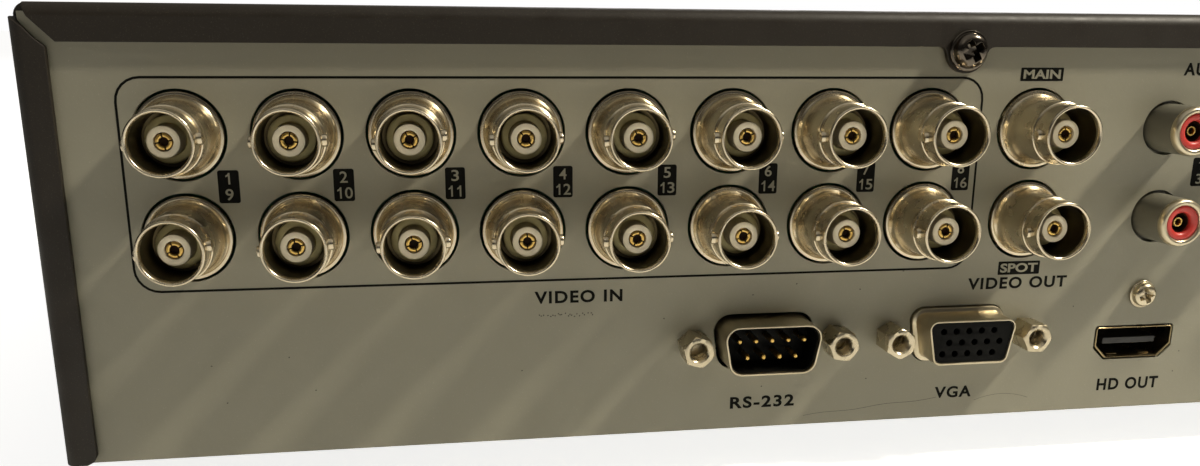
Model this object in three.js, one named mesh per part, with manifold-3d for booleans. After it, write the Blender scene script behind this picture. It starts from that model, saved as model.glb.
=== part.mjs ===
// Sixteen-channel digital video recorder in a 1.5U desktop case. Millimetres, +Z up.
// Origin: centre of the overall footprint, on the surface that the feet stand on.
// The front bezel faces -Y and the connector panel faces +Y.

import * as THREE from 'three';
import { mergeVertices } from 'three/addons/utils/BufferGeometryUtils.js';
import Module from 'manifold-3d';

const wasm = await Module();
wasm.setup();

// ---------------------------------------------------------------- driving dimensions

// Case
const caseWidth = 445;
const caseDepth = 372;
const caseHeight = 70;
const sheet = 1;
const lap = 0.3; // clearance between two sheets, or between a piece and what it seats on
const panelClear = 0.35; // clearance around a connector in its panel hole
const bendRadius = 2;
const topFlange = 5.5;
const sideFlange = 4.9;
const panLip = 14;
const mitreGap = 1;

// Cover tabs and their screws
const tabDrop = 4.1;
const tabTopWidth = 9;
const tabFootWidth = 6.4;
const screwDrop = 6.1;
const firstTabU = 144.7;
const tabStep = 155;
const coverScrewHead = 3.25;
const coverScrewHeadHeight = 1.9;
const coverScrewShank = 1.4;
const coverScrewLength = 6;

// Side vents
const ventCount = 12;
const ventPitch = 9;
const ventWidth = 3;
const ventHeight = 26;
const ventRear = 150;

// Feet
const footHeight = 8;
const footRadius = 11;
const footToeRadius = 9.5;
const footInsetX = 42;
const footInsetY = 38;

// Coaxial video sockets
const bncColumns = 8;
const bncPitch = 16.88;
const bncRowGap = 15.43;
const bncFirstU = 21.46;
const bncTopV = -18.92;
const bncOutputStep = 19.12;
const bncLength = 11.85;
const bncFlangeRadius = 6.45;
const bncFlangeFront = 0.4;
const bncFillet = 1.4;
const bncBodyRadius = 5;
const bncRimRadius = 4.8;
const bncMouthRadius = 4.2;
const bncFloor = 3.6;
const bncInsulatorRadius = 2.3;
const bncInsulatorFront = 9.2;
const bncContactHole = 0.7;
const bncContactDepth = 4.2;
const bncLugRadius = 1;
const bncLugFront = 9.4;
const bncLugSpan = 11;

// Video board behind the coaxial sockets
const boardThickness = 1.6;
const videoBoardSetback = 10;
const videoBoardMargin = 8.5;

// Audio sockets
const phonoColumns = 3;
const phonoPitch = 17;
const phonoFromOutputs = 24.96;
const phonoLength = 7.4;
const phonoRadius = 4.15;
const phonoHoleClear = 0.52;
const phonoInsulatorRadius = 2.95;
const phonoInsulatorSink = 0.8;
const phonoContactRadius = 1.7;
const phonoContactDepth = 7;
const phonoBlockDepth = 12;
const phonoBlockMargin = 7.2;

// Lower row: heights above the case underside
const lowerRise = 15.63;
const dsubLength = 6;
const dsubWall = 0.5;
const dsubCorner = 2.4;
const dsubSlant = 0.18; // sideways run of the slanted ends, per mm of height
const dsubFlangeHeight = 12.5;
const dsubFlangeMargin = 6.5;
const dsubBlockDepth = 10;
const dsubHoleClear = 0.45;
const serialU = 112.77;
const serialWidth = 17.4;
const serialHeight = 8.5;
const serialPinLength = 5;
const serialPinPitch = 2.77;
const serialPinRow = 2.84;
const vgaU = 147.85;
const vgaWidth = 16.2;
const vgaHeight = 7.9;
const vgaPinPitch = 2.29;
const vgaPinRow = 1.98;
const dsubPinRadius = 0.5;
const dsubInsertSink = 0.3;
const jackOffset = 12.495;
const jackFlats = 4.6;
const jackLength = 5.5;
const jackThreadHole = 1.4;
const jackThreadDepth = 3.5;
const jackStudRadius = 1.3;
const jackStudLength = 5;

// Digital video port
const digitalU = 182.67;
const digitalRise = 12.55;
const digitalWidth = 15;
const digitalHeight = 5.8;
const digitalCorner = 2.2;
const digitalWall = 0.35;
const digitalDepth = 11;
const digitalProud = 0.2;
const digitalTongueSink = 1.4;
const digitalTongueThick = 1.2;
const digitalTongueWidth = 10.5;
const digitalScrewRise = 21.6;
const digitalScrewOffset = 0.3;

// Small screws
const smallHead = 2.5;
const smallHeadHeight = 1.6;
const smallShank = 1.3;
const smallScrewLength = 5;
const crossWidth = 0.7;
const crossDepth = 0.9;
const crossReach = 0.6; // share of the head radius

// Data and network ports
const usbU = 207;
const usbWidth = 13.2;
const usbHeight = 14.6;
const usbPortWidth = 12.2;
const usbPortHeight = 4.9;
const usbPortGap = 7.4;
const usbTongueThick = 1.6;
const usbTongueWidth = 10.4;
const usbTongueSink = 2;
const usbDepth = 14;
const portProud = 0.6;
const lanU = 231;
const lanWidth = 15.8;
const lanHeight = 13.4;
const lanPortWidth = 11.8;
const lanPortHeight = 8.2;
const lanLatchWidth = 6;
const lanLatchHeight = 2.6;
const lanDepth = 16;
const lanFloor = 13;

// Alarm and control terminals
const terminalU = 272;
const terminalWays = 10;
const terminalPitch = 3.81;
const terminalHeight = 9.2;
const terminalWall = 1.2;
const terminalDepth = 9;
const terminalProud = 1;
const plugProud = 10;
const plugClear = 0.3;
const plugWireHole = 2.6;
const plugWireDepth = 6;
const plugScrewRadius = 1.2;

// Fan, measured from the right-hand edge
const fanFromRight = 118;
const fanRise = 36;
const fanSize = 40;
const fanDepth = 10;
const fanBore = 18.6;
const fanTipClear = 0.6;
const fanHubRadius = 9;
const fanBladeCount = 7;
const fanBladeThick = 1;
const fanBladeTilt = 35;
const fanStrutWidth = 2.4;
const fanStrutThick = 1;
const fanGuardSlots = 7;
const fanGuardPitch = 5;
const fanGuardWidth = 3.2;

// Power inlet and switch module, measured from the right-hand edge
const inletFromRight = 45;
const inletRise = 33;
const inletFlangeWidth = 50;
const inletFlangeHeight = 28;
const inletFlangeThick = 2;
const inletBodyWidth = 45;
const inletBodyHeight = 24;
const inletBodyDepth = 20;
const socketWidth = 23;
const socketHeight = 16;
const socketChamfer = 4;
const socketDepth = 16;
const socketFromModule = -9.5;
const socketPinLength = 11;
const socketPinWidth = 2;
const socketPinHeight = 4;
const socketPinPitch = 7;
const rockerFromModule = 13.5;
const rockerWidth = 10;
const rockerHeight = 15.2;
const rockerSideClear = 0.4;
const rockerEndClear = 0.8;
const rockerSwing = 12;
const rockerPivotDepth = 2;
const rockerWell = 9;

// Ground screw
const groundU = 308;
const groundRise = 14;

// Rear panel vents
const rearVentFromAudio = 28.3;
const rearVentFanMargin = 5;
const rearVentPitch = 5.4;
const rearVentWidth = 2.6;
const rearVentHeight = 16;
const rearVentDrop = 24;

// Boards, drives and supply
const boardRise = 6.4; // underside of the main board above the case underside
const mainBoardWidth = 262;
const mainBoardDepth = 180;
const mainBoardInset = 12;
const standoffRadius = 3;
const sinkSize = 40;
const sinkHeight = 14;
const sinkFins = 7;
const sinkFinThick = 1.6;
const driveWidth = 101.6;
const driveDepth = 147;
const driveHeight = 26.1;
const driveFrontGap = 14;
const driveGap = 12;
const railHeight = 5;
const railWidth = 8;
const supplyWidth = 92;
const supplyDepth = 170;
const supplyFromRight = 14;
const supplyRearGap = 38;
const harnessRadius = 3.5;

// Front bezel and controls
const bezelDepth = 18;
const bezelWall = 2.5;
const bezelCorner = 3;
const frontBoardWidth = 400;
const frontBoardHeight = 44;
const frontBoardGap = 1.5;
const windowA = 75;
const windowWidth = 90;
const windowHeight = 22;
const buttonWidth = 16;
const buttonHeight = 8;
const buttonProud = 1.2;
const buttonClear = 0.3;
const buttonFlange = 1.2;
const buttonTravel = 1;
const menuA = 262;
const recordA = 288;
const dialA = 345;
const dialRadius = 20;
const dialProud = 3;
const dialClear = 0.5;
const dialThick = 8;
const dialShaft = 3;
const dialDimple = 5;
const powerA = 408;
const powerRadius = 6;
const powerRise = 47;
const frontUsbRise = 20;
const switchBlock = 6;
const switchHeight = 1.6;

// ---------------------------------------------------------------- places worked out from them

const overallDepth = dialProud + bezelDepth + caseDepth + bncLength;
const frontY = -overallDepth / 2 + dialProud + bezelDepth; // front of the steel case
const panelY = frontY + caseDepth; // outer face of the connector panel
const topZ = footHeight + caseHeight;
const panEdge = sheet + lap; // cover outer face to pan outer face
const outputU = bncFirstU + (bncColumns - 1) * bncPitch + bncOutputStep;
const phonoFirstU = outputU + phonoFromOutputs;
const lowerV = lowerRise - caseHeight;
const digitalV = digitalRise - caseHeight;
const boardTop = boardRise + boardThickness; // main board's upper face above the case underside
const boardTopV = boardTop - caseHeight;
const fanU = caseWidth - fanFromRight;
const fanV = fanRise - caseHeight;
const rearVentU = phonoFirstU + (phonoColumns - 1) * phonoPitch + rearVentFromAudio;
const rearVentRoom = fanU - fanSize / 2 - rearVentFanMargin - rearVentU;
const rearVentCount = Math.floor(rearVentRoom / rearVentPitch) + 1;
const inletU = caseWidth - inletFromRight;
const inletV = inletRise - caseHeight;
const panelBack = -sheet - lap; // first free depth behind the connector panel
const bezelInner = bezelDepth - bezelWall;
const frontBoardFront = frontBoardGap + boardThickness;
const controlB = caseHeight / 2;
const terminalWidth = terminalWays * terminalPitch;
const terminalV = boardTopV + lap + terminalHeight / 2;
const usbV = boardTopV + lap + usbHeight / 2;
const lanV = boardTopV + lap + lanHeight / 2;

// ---------------------------------------------------------------- geometry helpers

const ROUND = 16;
const FINE_ROUND = 24;
const SOCKET_ROUND = 12;
const WELD = 1e-4;

function weld(geometry) {
  const bare = geometry.clone();
  bare.deleteAttribute('normal');
  bare.deleteAttribute('uv');
  const merged = mergeVertices(bare, WELD);
  const kept = [];
  for (let i = 0; i < merged.index.count; i += 3) {
    const corners = [0, 1, 2].map((k) => merged.index.getX(i + k));
    if (new Set(corners).size === 3) {
      kept.push(...corners);
    }
  }
  merged.setIndex(kept);
  return merged;
}

function toSolid(geometry) {
  const merged = weld(geometry);
  return new wasm.Manifold(new wasm.Mesh({
    numProp: 3,
    vertProperties: new Float32Array(merged.attributes.position.array),
    triVerts: new Uint32Array(merged.index.array),
  }));
}

function toGeometry(solid) {
  const mesh = solid.getMesh();
  const geometry = new THREE.BufferGeometry();
  geometry.setAttribute('position', new THREE.BufferAttribute(mesh.vertProperties, 3));
  geometry.setIndex(new THREE.BufferAttribute(mesh.triVerts, 1));
  geometry.computeVertexNormals();
  return geometry;
}

function join(...geometries) {
  return toGeometry(geometries.map(toSolid).reduce((whole, piece) => whole.add(piece)));
}

function cut(body, ...tools) {
  return toGeometry(tools.map(toSolid).reduce((left, tool) => left.subtract(tool), toSolid(body)));
}

// A block between two corners.
function block([x0, y0, z0], [x1, y1, z1]) {
  const geometry = new THREE.BoxGeometry(x1 - x0, y1 - y0, z1 - z0);
  return geometry.translate((x0 + x1) / 2, (y0 + y1) / 2, (z0 + z1) / 2);
}

// A block centred on (x, y), from depth z0 to z1.
function pad(x, y, width, height, z0, z1) {
  return block([x - width / 2, y - height / 2, z0], [x + width / 2, y + height / 2, z1]);
}

// An outline extruded from depth z0 to z1.
function prism(outline, z0, z1, curveSegments = 4) {
  const options = { depth: z1 - z0, bevelEnabled: false, curveSegments };
  return new THREE.ExtrudeGeometry(outline, options).translate(0, 0, z0);
}

// A round bar along Z.
function rod(x, y, radius, z0, z1, sides = ROUND) {
  const geometry = new THREE.CylinderGeometry(radius, radius, z1 - z0, sides);
  return geometry.rotateX(Math.PI / 2).translate(x, y, (z0 + z1) / 2);
}

// A turned shape along Z from its (radius, depth) profile.
function turned(profile, x = 0, y = 0, sides = ROUND) {
  const points = profile.map(([radius, depth]) => new THREE.Vector2(radius, depth));
  return new THREE.LatheGeometry(points, sides).rotateX(Math.PI / 2).translate(x, y, 0);
}

// A closed outline through the corners, each rounded by the same radius.
function roundedOutline(corners, radius, Outline = THREE.Shape) {
  const points = corners.map(([x, y]) => new THREE.Vector2(x, y));
  const outline = new Outline();
  points.forEach((corner, i) => {
    const before = points[(i + points.length - 1) % points.length];
    const after = points[(i + 1) % points.length];
    const entry = corner.clone().add(before.clone().sub(corner).setLength(radius));
    const exit = corner.clone().add(after.clone().sub(corner).setLength(radius));
    if (i === 0) {
      outline.moveTo(entry.x, entry.y);
    } else {
      outline.lineTo(entry.x, entry.y);
    }
    outline.quadraticCurveTo(corner.x, corner.y, exit.x, exit.y);
  });
  outline.closePath();
  return outline;
}

function rectangleCorners(x, y, width, height) {
  const [a, b] = [width / 2, height / 2];
  return [[x - a, y - b], [x + a, y - b], [x + a, y + b], [x - a, y + b]];
}

function roundedRectangle(x, y, width, height, radius, Outline = THREE.Shape) {
  return roundedOutline(rectangleCorners(x, y, width, height), radius, Outline);
}

// The D outline: wider at the top, with slanted ends.
function dOutline(x, y, width, height, radius, Outline = THREE.Shape) {
  const inset = height * dsubSlant;
  const [a, b] = [width / 2, height / 2];
  const corners = [[x - a + inset, y - b], [x + a - inset, y - b], [x + a, y + b], [x - a, y + b]];
  return roundedOutline(corners, radius, Outline);
}

function roundHole(x, y, radius) {
  return new THREE.Path().absarc(x, y, radius, 0, 2 * Math.PI, true);
}

// An upright slot with pointed ends, half its width long.
function slot(x, y, width, height) {
  const [a, b] = [width / 2, height / 2];
  return new THREE.Path([
    [x, y - b], [x + a, y - b + a], [x + a, y + b - a], [x, y + b], [x - a, y + b - a], [x - a, y - b + a],
  ].map(([px, py]) => new THREE.Vector2(px, py)));
}

// A box-shaped shape with its lower corners cut off, as a mains socket has.
function chamferedOutline(x, y, width, height, chamfer) {
  const [a, b] = [width / 2, height / 2];
  return new THREE.Shape([
    [x - a, y + b], [x - a, y - b + chamfer], [x - a + chamfer, y - b],
    [x + a - chamfer, y - b], [x + a, y - b + chamfer], [x + a, y + b],
  ].map(([px, py]) => new THREE.Vector2(px, py)));
}

function hexagon(x, y, flats, Outline = THREE.Shape) {
  const radius = flats / Math.sqrt(3);
  const corners = [...Array(6).keys()].map((k) => (k + 0.5) * Math.PI / 3);
  const points = corners.map((a) => new THREE.Vector2(x + radius * Math.cos(a), y + radius * Math.sin(a)));
  return new Outline(points);
}

// ---------------------------------------------------------------- assembly frames

const recorder = new THREE.Group();
recorder.name = 'dvr_recorder';

// Connector panel: X runs left to right as seen from behind from the case's left edge,
// Y runs up from the case top (so it is negative), Z runs out of the panel.
const rear = new THREE.Group();
rear.position.set(caseWidth / 2, panelY, topZ);
rear.rotation.set(Math.PI / 2, Math.PI, 0);
recorder.add(rear);
rear.updateMatrix();

// Front: X runs left to right as seen from the front from the case's left edge,
// Y runs up from the case underside, Z runs out of the steel front.
const front = new THREE.Group();
front.position.set(-caseWidth / 2, frontY, footHeight);
front.rotation.set(Math.PI / 2, 0, 0);
recorder.add(front);
front.updateMatrix();

function addPiece(parent, name, geometry, { color, roughness, metalness }) {
  const material = new THREE.MeshStandardMaterial({ color, roughness, metalness });
  const mesh = new THREE.Mesh(geometry, material);
  mesh.name = name;
  parent.add(mesh);
  return mesh;
}

const finishes = {
  panelGrey: { color: 0x7f7a68, roughness: 0.5, metalness: 0.2 },
  coverBlack: { color: 0x2f2b24, roughness: 0.55, metalness: 0.2 },
  bezelBlack: { color: 0x1c1c1d, roughness: 0.4, metalness: 0 },
  blackPlastic: { color: 0x17171a, roughness: 0.45, metalness: 0 },
  greyPlastic: { color: 0x3f3b2b, roughness: 0.5, metalness: 0 },
  greenPlastic: { color: 0x2d7a46, roughness: 0.5, metalness: 0 },
  rubber: { color: 0x151515, roughness: 0.8, metalness: 0 },
  nickel: { color: 0xb9b09a, roughness: 0.25, metalness: 1 },
  steel: { color: 0xa9a9a6, roughness: 0.3, metalness: 1 },
  blackChrome: { color: 0x3a3a3c, roughness: 0.2, metalness: 1 },
  board: { color: 0x1f5b3a, roughness: 0.6, metalness: 0 },
  aluminium: { color: 0xb8babc, roughness: 0.4, metalness: 0.9 },
  smoked: { color: 0x22090b, roughness: 0.1, metalness: 0 },
  silverPlastic: { color: 0x8f9092, roughness: 0.35, metalness: 0.6 },
};

// ---------------------------------------------------------------- rear sockets: shared positions

function bncPlaces() {
  const places = [];
  for (let row = 0; row < 2; row += 1) {
    const v = bncTopV - row * bncRowGap;
    for (let column = 0; column < bncColumns; column += 1) {
      const number = String(row * bncColumns + column + 1).padStart(2, '0');
      places.push({ name: `video_in_${number}`, u: bncFirstU + column * bncPitch, v });
    }
    places.push({ name: row === 0 ? 'video_out_main' : 'video_out_spot', u: outputU, v });
  }
  return places;
}

function phonoPlaces() {
  const places = [];
  for (let row = 0; row < 2; row += 1) {
    for (let column = 0; column < phonoColumns; column += 1) {
      places.push({ u: phonoFirstU + column * phonoPitch, v: bncTopV - row * bncRowGap });
    }
  }
  return places;
}

const coverTabs = [firstTabU, firstTabU + tabStep];
const jackPlaces = [
  ['serial_jackscrew_left', serialU - jackOffset], ['serial_jackscrew_right', serialU + jackOffset],
  ['vga_jackscrew_left', vgaU - jackOffset], ['vga_jackscrew_right', vgaU + jackOffset],
];

// ---------------------------------------------------------------- chassis pan

function fanGuardHoles() {
  const reach = fanBore - fanGuardWidth / 2;
  const middle = (fanGuardSlots - 1) / 2;
  return [...Array(fanGuardSlots).keys()].map((k) => {
    const offset = (k - middle) * fanGuardPitch;
    const length = 2 * Math.sqrt(reach ** 2 - offset ** 2);
    return slot(fanU + offset, fanV, fanGuardWidth, length);
  });
}

function rearVentHoles() {
  return [...Array(rearVentCount).keys()].map((k) => {
    return slot(rearVentU + k * rearVentPitch, -rearVentDrop, rearVentWidth, rearVentHeight);
  });
}

function connectorPanel() {
  const edge = panEdge;
  const outline = new THREE.Shape([
    [edge, -caseHeight], [caseWidth - edge, -caseHeight], [caseWidth - edge, -edge], [edge, -edge],
  ].map(([u, v]) => new THREE.Vector2(u, v)));
  const portHole = (u, v, width, height) => (
    roundedRectangle(u, v, width + 2 * panelClear, height + 2 * panelClear, 0.5, THREE.Path)
  );
  const dHole = (u, width, height) => dOutline(
    u, lowerV, width + 2 * dsubHoleClear, height + 2 * dsubHoleClear, dsubCorner, THREE.Path,
  );
  outline.holes = [
    ...bncPlaces().map(({ u, v }) => roundHole(u, v, bncFlangeRadius + panelClear)),
    ...phonoPlaces().map(({ u, v }) => roundHole(u, v, phonoRadius + phonoHoleClear)),
    ...coverTabs.map((u) => roundHole(u, -screwDrop, coverScrewShank + lap)),
    ...jackPlaces.map(([, u]) => roundHole(u, lowerV, jackStudRadius + lap)),
    dHole(serialU, serialWidth, serialHeight),
    dHole(vgaU, vgaWidth, vgaHeight),
    portHole(digitalU, digitalV, digitalWidth, digitalHeight),
    roundHole(digitalU + digitalScrewOffset, digitalScrewRise - caseHeight, smallShank + lap),
    portHole(usbU, usbV, usbWidth, usbHeight),
    portHole(lanU, lanV, lanWidth, lanHeight),
    portHole(terminalU, terminalV, terminalWidth + 2 * terminalWall, terminalHeight),
    portHole(inletU, inletV, inletBodyWidth, inletBodyHeight),
    roundHole(groundU, groundRise - caseHeight, smallShank + lap),
    ...fanGuardHoles(),
    ...rearVentHoles(),
  ];
  return prism(outline, -sheet, 0, 5).applyMatrix4(rear.matrix);
}

const driveTotal = 2 * driveWidth + driveGap;
const driveRight = caseWidth / 2 - 60;
const driveStarts = [driveRight - driveWidth, driveRight - driveTotal];
const driveY = frontY + driveFrontGap;
const boardRight = caseWidth / 2 - mainBoardInset;
const boardRear = panelY + panelBack - lap;
const supplyRight = -caseWidth / 2 + supplyFromRight + supplyWidth;
const supplyRear = panelY - supplyRearGap;

function standoffs(x0, x1, y0, y1, top) {
  const inset = 5;
  const spots = [x0 + inset, x1 - inset].flatMap((x) => [y0 + inset, y1 - inset].map((y) => [x, y]));
  return spots.map(([x, y]) => rod(x, y, standoffRadius, footHeight + sheet / 2, top - lap, 10));
}

function chassisPan() {
  const side = caseWidth / 2 - panEdge;
  const floorTop = footHeight + sheet;
  const boardUnder = footHeight + boardRise;
  const wallTop = topZ - panEdge;
  const floor = block([-side, frontY, footHeight], [side, panelY, floorTop]);
  const frontWall = cut(
    block([-side, frontY, footHeight], [side, frontY + sheet, wallTop]),
    block([-60, frontY - 1, topZ - 30], [60, frontY + sheet + 1, topZ - 12]),
  );
  const lips = [-side, side - sheet].map((x) => (
    block([x, frontY, footHeight], [x + sheet, panelY, footHeight + panLip])
  ));
  const rails = driveStarts.flatMap((x) => [x, x + driveWidth - railWidth]).map((x) => (
    block([x, driveY, footHeight + sheet / 2], [x + railWidth, driveY + driveDepth, floorTop + railHeight])
  ));
  return join(
    connectorPanel(), floor, frontWall, ...lips, ...rails,
    ...standoffs(boardRight - mainBoardWidth, boardRight, boardRear - mainBoardDepth, boardRear, boardUnder),
    ...standoffs(supplyRight - supplyWidth, supplyRight, supplyRear - supplyDepth, supplyRear, boardUnder),
  );
}

// ---------------------------------------------------------------- top cover

function coverSection() {
  const [w, h] = [caseWidth, caseHeight];
  const outer = roundedOutline([[0, -2 * h], [w, -2 * h], [w, 0], [0, 0]], bendRadius);
  const inner = roundedOutline(
    [[sheet, -2 * h - sheet], [w - sheet, -2 * h - sheet], [w - sheet, -sheet], [sheet, -sheet]],
    bendRadius - sheet,
  );
  return { outer, inner };
}

function mitreSlit(u, direction) {
  const slit = new THREE.BoxGeometry(mitreGap, 6 * topFlange, 4 * sheet);
  return slit.rotateZ(direction * Math.PI / 4).translate(u, 0, lap + sheet / 2);
}

function coverTab(u) {
  const reach = topFlange + tabDrop;
  const [a, b] = [tabTopWidth / 2, tabFootWidth / 2];
  const root = -topFlange / 2;
  const outline = roundedOutline([[u - a, root], [u - b, -reach], [u + b, -reach], [u + a, root]], 1);
  return prism(outline, lap, lap + sheet, 3);
}

function topCover() {
  const [w, h] = [caseWidth, caseHeight];
  const { outer, inner } = coverSection();
  const flangeBack = lap;
  const flangeFront = lap + sheet;
  const tube = cut(prism(outer, -caseDepth, flangeFront, 3), prism(inner, -caseDepth - 1, flangeBack, 3));
  const [left, right, foot0] = [sideFlange, w - sideFlange, -2 * h - 1];
  const opening = roundedOutline(
    [[left, foot0], [right, foot0], [right, -topFlange], [left, -topFlange]], bendRadius - sheet,
  );
  const below = block([-1, -3 * h, -caseDepth - 2], [w + 1, -h, flangeFront + 1]);
  const slits = [mitreSlit(0, 1), mitreSlit(w, -1)];
  const tabs = coverTabs.map(coverTab);
  const screwHoles = coverTabs.map((u) => rod(u, -screwDrop, coverScrewShank + lap, 0, 2 * flangeFront, 10));
  const vents = [...Array(ventCount).keys()].map((k) => {
    const depth = -ventRear - k * ventPitch;
    return block([-1, -(h + ventHeight) / 2, depth], [w + 1, -(h - ventHeight) / 2, depth + ventWidth]);
  });
  const flanged = cut(tube, prism(opening, flangeBack - 0.1, flangeFront + 1, 2), below, ...slits);
  return cut(join(flanged, ...tabs), ...screwHoles, ...vents).applyMatrix4(rear.matrix);
}

// ---------------------------------------------------------------- feet and screws

function foot(x, y) {
  const top = footHeight - lap;
  const profile = [[0, 0], [footToeRadius, 0], [footRadius, 2], [footRadius, top], [0, top]];
  return turned(profile, x, y);
}

// A pan-head cross-recess screw: head on the panel side, shank going in.
function panScrew(u, v, head, headHeight, shank, length, seat) {
  const profile = [
    [0, seat - length], [shank, seat - length], [shank, seat], [head, seat],
    [head, seat + headHeight * 0.4], [head * 0.8, seat + headHeight * 0.85], [0, seat + headHeight],
  ];
  const reach = 2 * head * crossReach;
  const floor = seat + headHeight - crossDepth;
  return cut(
    turned(profile, u, v),
    pad(u, v, reach, crossWidth, floor, floor + 3 * crossDepth),
    pad(u, v, crossWidth, reach, floor, floor + 3 * crossDepth),
  );
}

// ---------------------------------------------------------------- coaxial and audio sockets

function bnc(u, v) {
  const back = -videoBoardSetback + boardThickness / 2 + lap;
  const body = turned([
    [0, back], [bncFlangeRadius, back], [bncFlangeRadius, bncFlangeFront],
    [bncBodyRadius, bncFlangeFront + bncFillet],
    [bncRimRadius, bncLength], [bncMouthRadius, bncLength], [bncMouthRadius, bncFloor],
    [bncInsulatorRadius, bncFloor], [bncInsulatorRadius, bncInsulatorFront],
    [bncContactHole, bncInsulatorFront], [bncContactHole, bncInsulatorFront - bncContactDepth],
    [0, bncInsulatorFront - bncContactDepth],
  ], u, v, SOCKET_ROUND);
  const lugInner = (bncMouthRadius + bncRimRadius) / 2;
  const lugs = [-1, 1].map((side) => {
    const lug = new THREE.CylinderGeometry(bncLugRadius, bncLugRadius, bncLugSpan / 2 - lugInner, 8);
    return lug.rotateZ(Math.PI / 2).translate(u + side * (bncLugSpan / 2 + lugInner) / 2, v, bncLugFront);
  });
  return join(body, ...lugs);
}

function audioJacks() {
  const v0 = bncTopV - bncRowGap - phonoBlockMargin;
  const v1 = bncTopV + phonoBlockMargin;
  const u1 = phonoFirstU + (phonoColumns - 1) * phonoPitch + phonoBlockMargin;
  const blockBody = block([phonoFirstU - phonoBlockMargin, v0, panelBack - phonoBlockDepth], [u1, v1, panelBack]);
  const barrels = phonoPlaces().map(({ u, v }) => turned([
    [0, panelBack - 2], [phonoRadius, panelBack - 2], [phonoRadius, phonoLength], [phonoInsulatorRadius, phonoLength],
    [phonoInsulatorRadius, phonoLength - phonoInsulatorSink], [0, phonoLength - phonoInsulatorSink],
  ], u, v, SOCKET_ROUND));
  const contacts = phonoPlaces().map(({ u, v }) => (
    rod(u, v, phonoContactRadius, phonoLength - phonoContactDepth, phonoLength + 1, 10)
  ));
  return cut(join(blockBody, ...barrels), ...contacts);
}

// ---------------------------------------------------------------- D-subminiature ports

function dShell(u, width, height) {
  const flangeWidth = 2 * jackOffset + dsubFlangeMargin;
  const back = panelBack - sheet;
  const tube = prism(dOutline(u, lowerV, width, height, dsubCorner), back, dsubLength);
  const flange = pad(u, lowerV, flangeWidth, dsubFlangeHeight, back, panelBack);
  const bore = dOutline(u, lowerV, width - 2 * dsubWall, height - 2 * dsubWall, dsubCorner - dsubWall);
  const screwHoles = [-1, 1].map((side) => (
    rod(u + side * jackOffset, lowerV, jackStudRadius + lap, back - 1, panelBack + 1, 10)
  ));
  return cut(join(tube, flange), prism(bore, back - 1, dsubLength + 1), ...screwHoles);
}

function dInsertBody(u, width, height, frontDepth) {
  const inner = 2 * (dsubWall + lap);
  const outline = dOutline(u, lowerV, width - inner, height - inner, dsubCorner - dsubWall);
  const back = panelBack - sheet - lap;
  const bottom = boardTopV + lap;
  const holder = block(
    [u - width / 2, bottom, back - dsubBlockDepth], [u + width / 2, lowerV + height / 2 + 1, back],
  );
  return [prism(outline, back - 1, frontDepth), holder];
}

function serialInsert() {
  const pins = [[2, serialPinRow / 2], [1.5, -serialPinRow / 2]].flatMap(([half, rise]) => (
    [...Array(2 * half + 1).keys()].map((k) => (
      rod(serialU + (k - half) * serialPinPitch, lowerV + rise, dsubPinRadius, -2, serialPinLength, 8)
    ))
  ));
  return join(...dInsertBody(serialU, serialWidth, serialHeight, 0), ...pins);
}

function vgaInsert() {
  const face = dsubLength - dsubInsertSink;
  const rows = [[-0.25, 1], [0.25, 0], [-0.25, -1]];
  const holes = rows.flatMap(([shift, row]) => [-2, -1, 0, 1, 2].map((k) => rod(
    vgaU + (k + shift) * vgaPinPitch, lowerV + row * vgaPinRow, dsubPinRadius, face - 4, face + 1, 6,
  )));
  return cut(join(...dInsertBody(vgaU, vgaWidth, vgaHeight, face)), ...holes);
}

function jackscrew(u) {
  const body = prism(hexagon(u, lowerV, jackFlats), lap, jackLength);
  const stud = rod(u, lowerV, jackStudRadius, -jackStudLength, lap + 1, 10);
  return cut(
    join(body, stud),
    rod(u, lowerV, jackThreadHole, jackLength - jackThreadDepth, jackLength + 1, 10),
  );
}

// ---------------------------------------------------------------- digital ports

function digitalCorners(width, height, step) {
  const [a, b] = [width / 2, height / 2];
  return [
    [digitalU - a + step, digitalV - b], [digitalU + a - step, digitalV - b], [digitalU + a, digitalV - b + step],
    [digitalU + a, digitalV + b], [digitalU - a, digitalV + b], [digitalU - a, digitalV - b + step],
  ];
}

function digitalPort() {
  const inner = 2 * digitalWall;
  const shell = roundedOutline(digitalCorners(digitalWidth, digitalHeight, digitalCorner), 0.4);
  const mouth = roundedOutline(digitalCorners(digitalWidth - inner, digitalHeight - inner, digitalCorner), 0.3);
  const back = digitalProud - digitalDepth;
  return join(
    cut(prism(shell, back, digitalProud, 2), prism(mouth, back + 2, digitalProud + 1, 2)),
    pad(digitalU, digitalV, digitalTongueWidth, digitalTongueThick, back + 1, digitalProud - digitalTongueSink),
  );
}

function usbTongue(u, v, back, frontDepth) {
  return pad(u, v + usbPortHeight / 5, usbTongueWidth, usbTongueThick, back, frontDepth - usbTongueSink);
}

function usbRear() {
  const body = pad(usbU, usbV, usbWidth, usbHeight, portProud - usbDepth, portProud);
  const rows = [-usbPortGap / 2, usbPortGap / 2].map((rise) => usbV + rise);
  const ports = rows.map((v) => (
    pad(usbU, v, usbPortWidth, usbPortHeight, portProud - usbDepth + 3, portProud + 1)
  ));
  const tongues = rows.map((v) => usbTongue(usbU, v, portProud - usbDepth + 2, portProud));
  return join(cut(body, ...ports), ...tongues);
}

function lanJack() {
  const body = pad(lanU, lanV, lanWidth, lanHeight, portProud - lanDepth, portProud);
  const floor = portProud - lanFloor;
  const mouthV = lanV + 1;
  const latchV = mouthV - (lanPortHeight + lanLatchHeight) / 2;
  return cut(
    body,
    pad(lanU, mouthV, lanPortWidth, lanPortHeight, floor, portProud + 1),
    pad(lanU, latchV + 0.5, lanLatchWidth, lanLatchHeight, floor, portProud + 1),
  );
}

// ---------------------------------------------------------------- terminals

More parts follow.
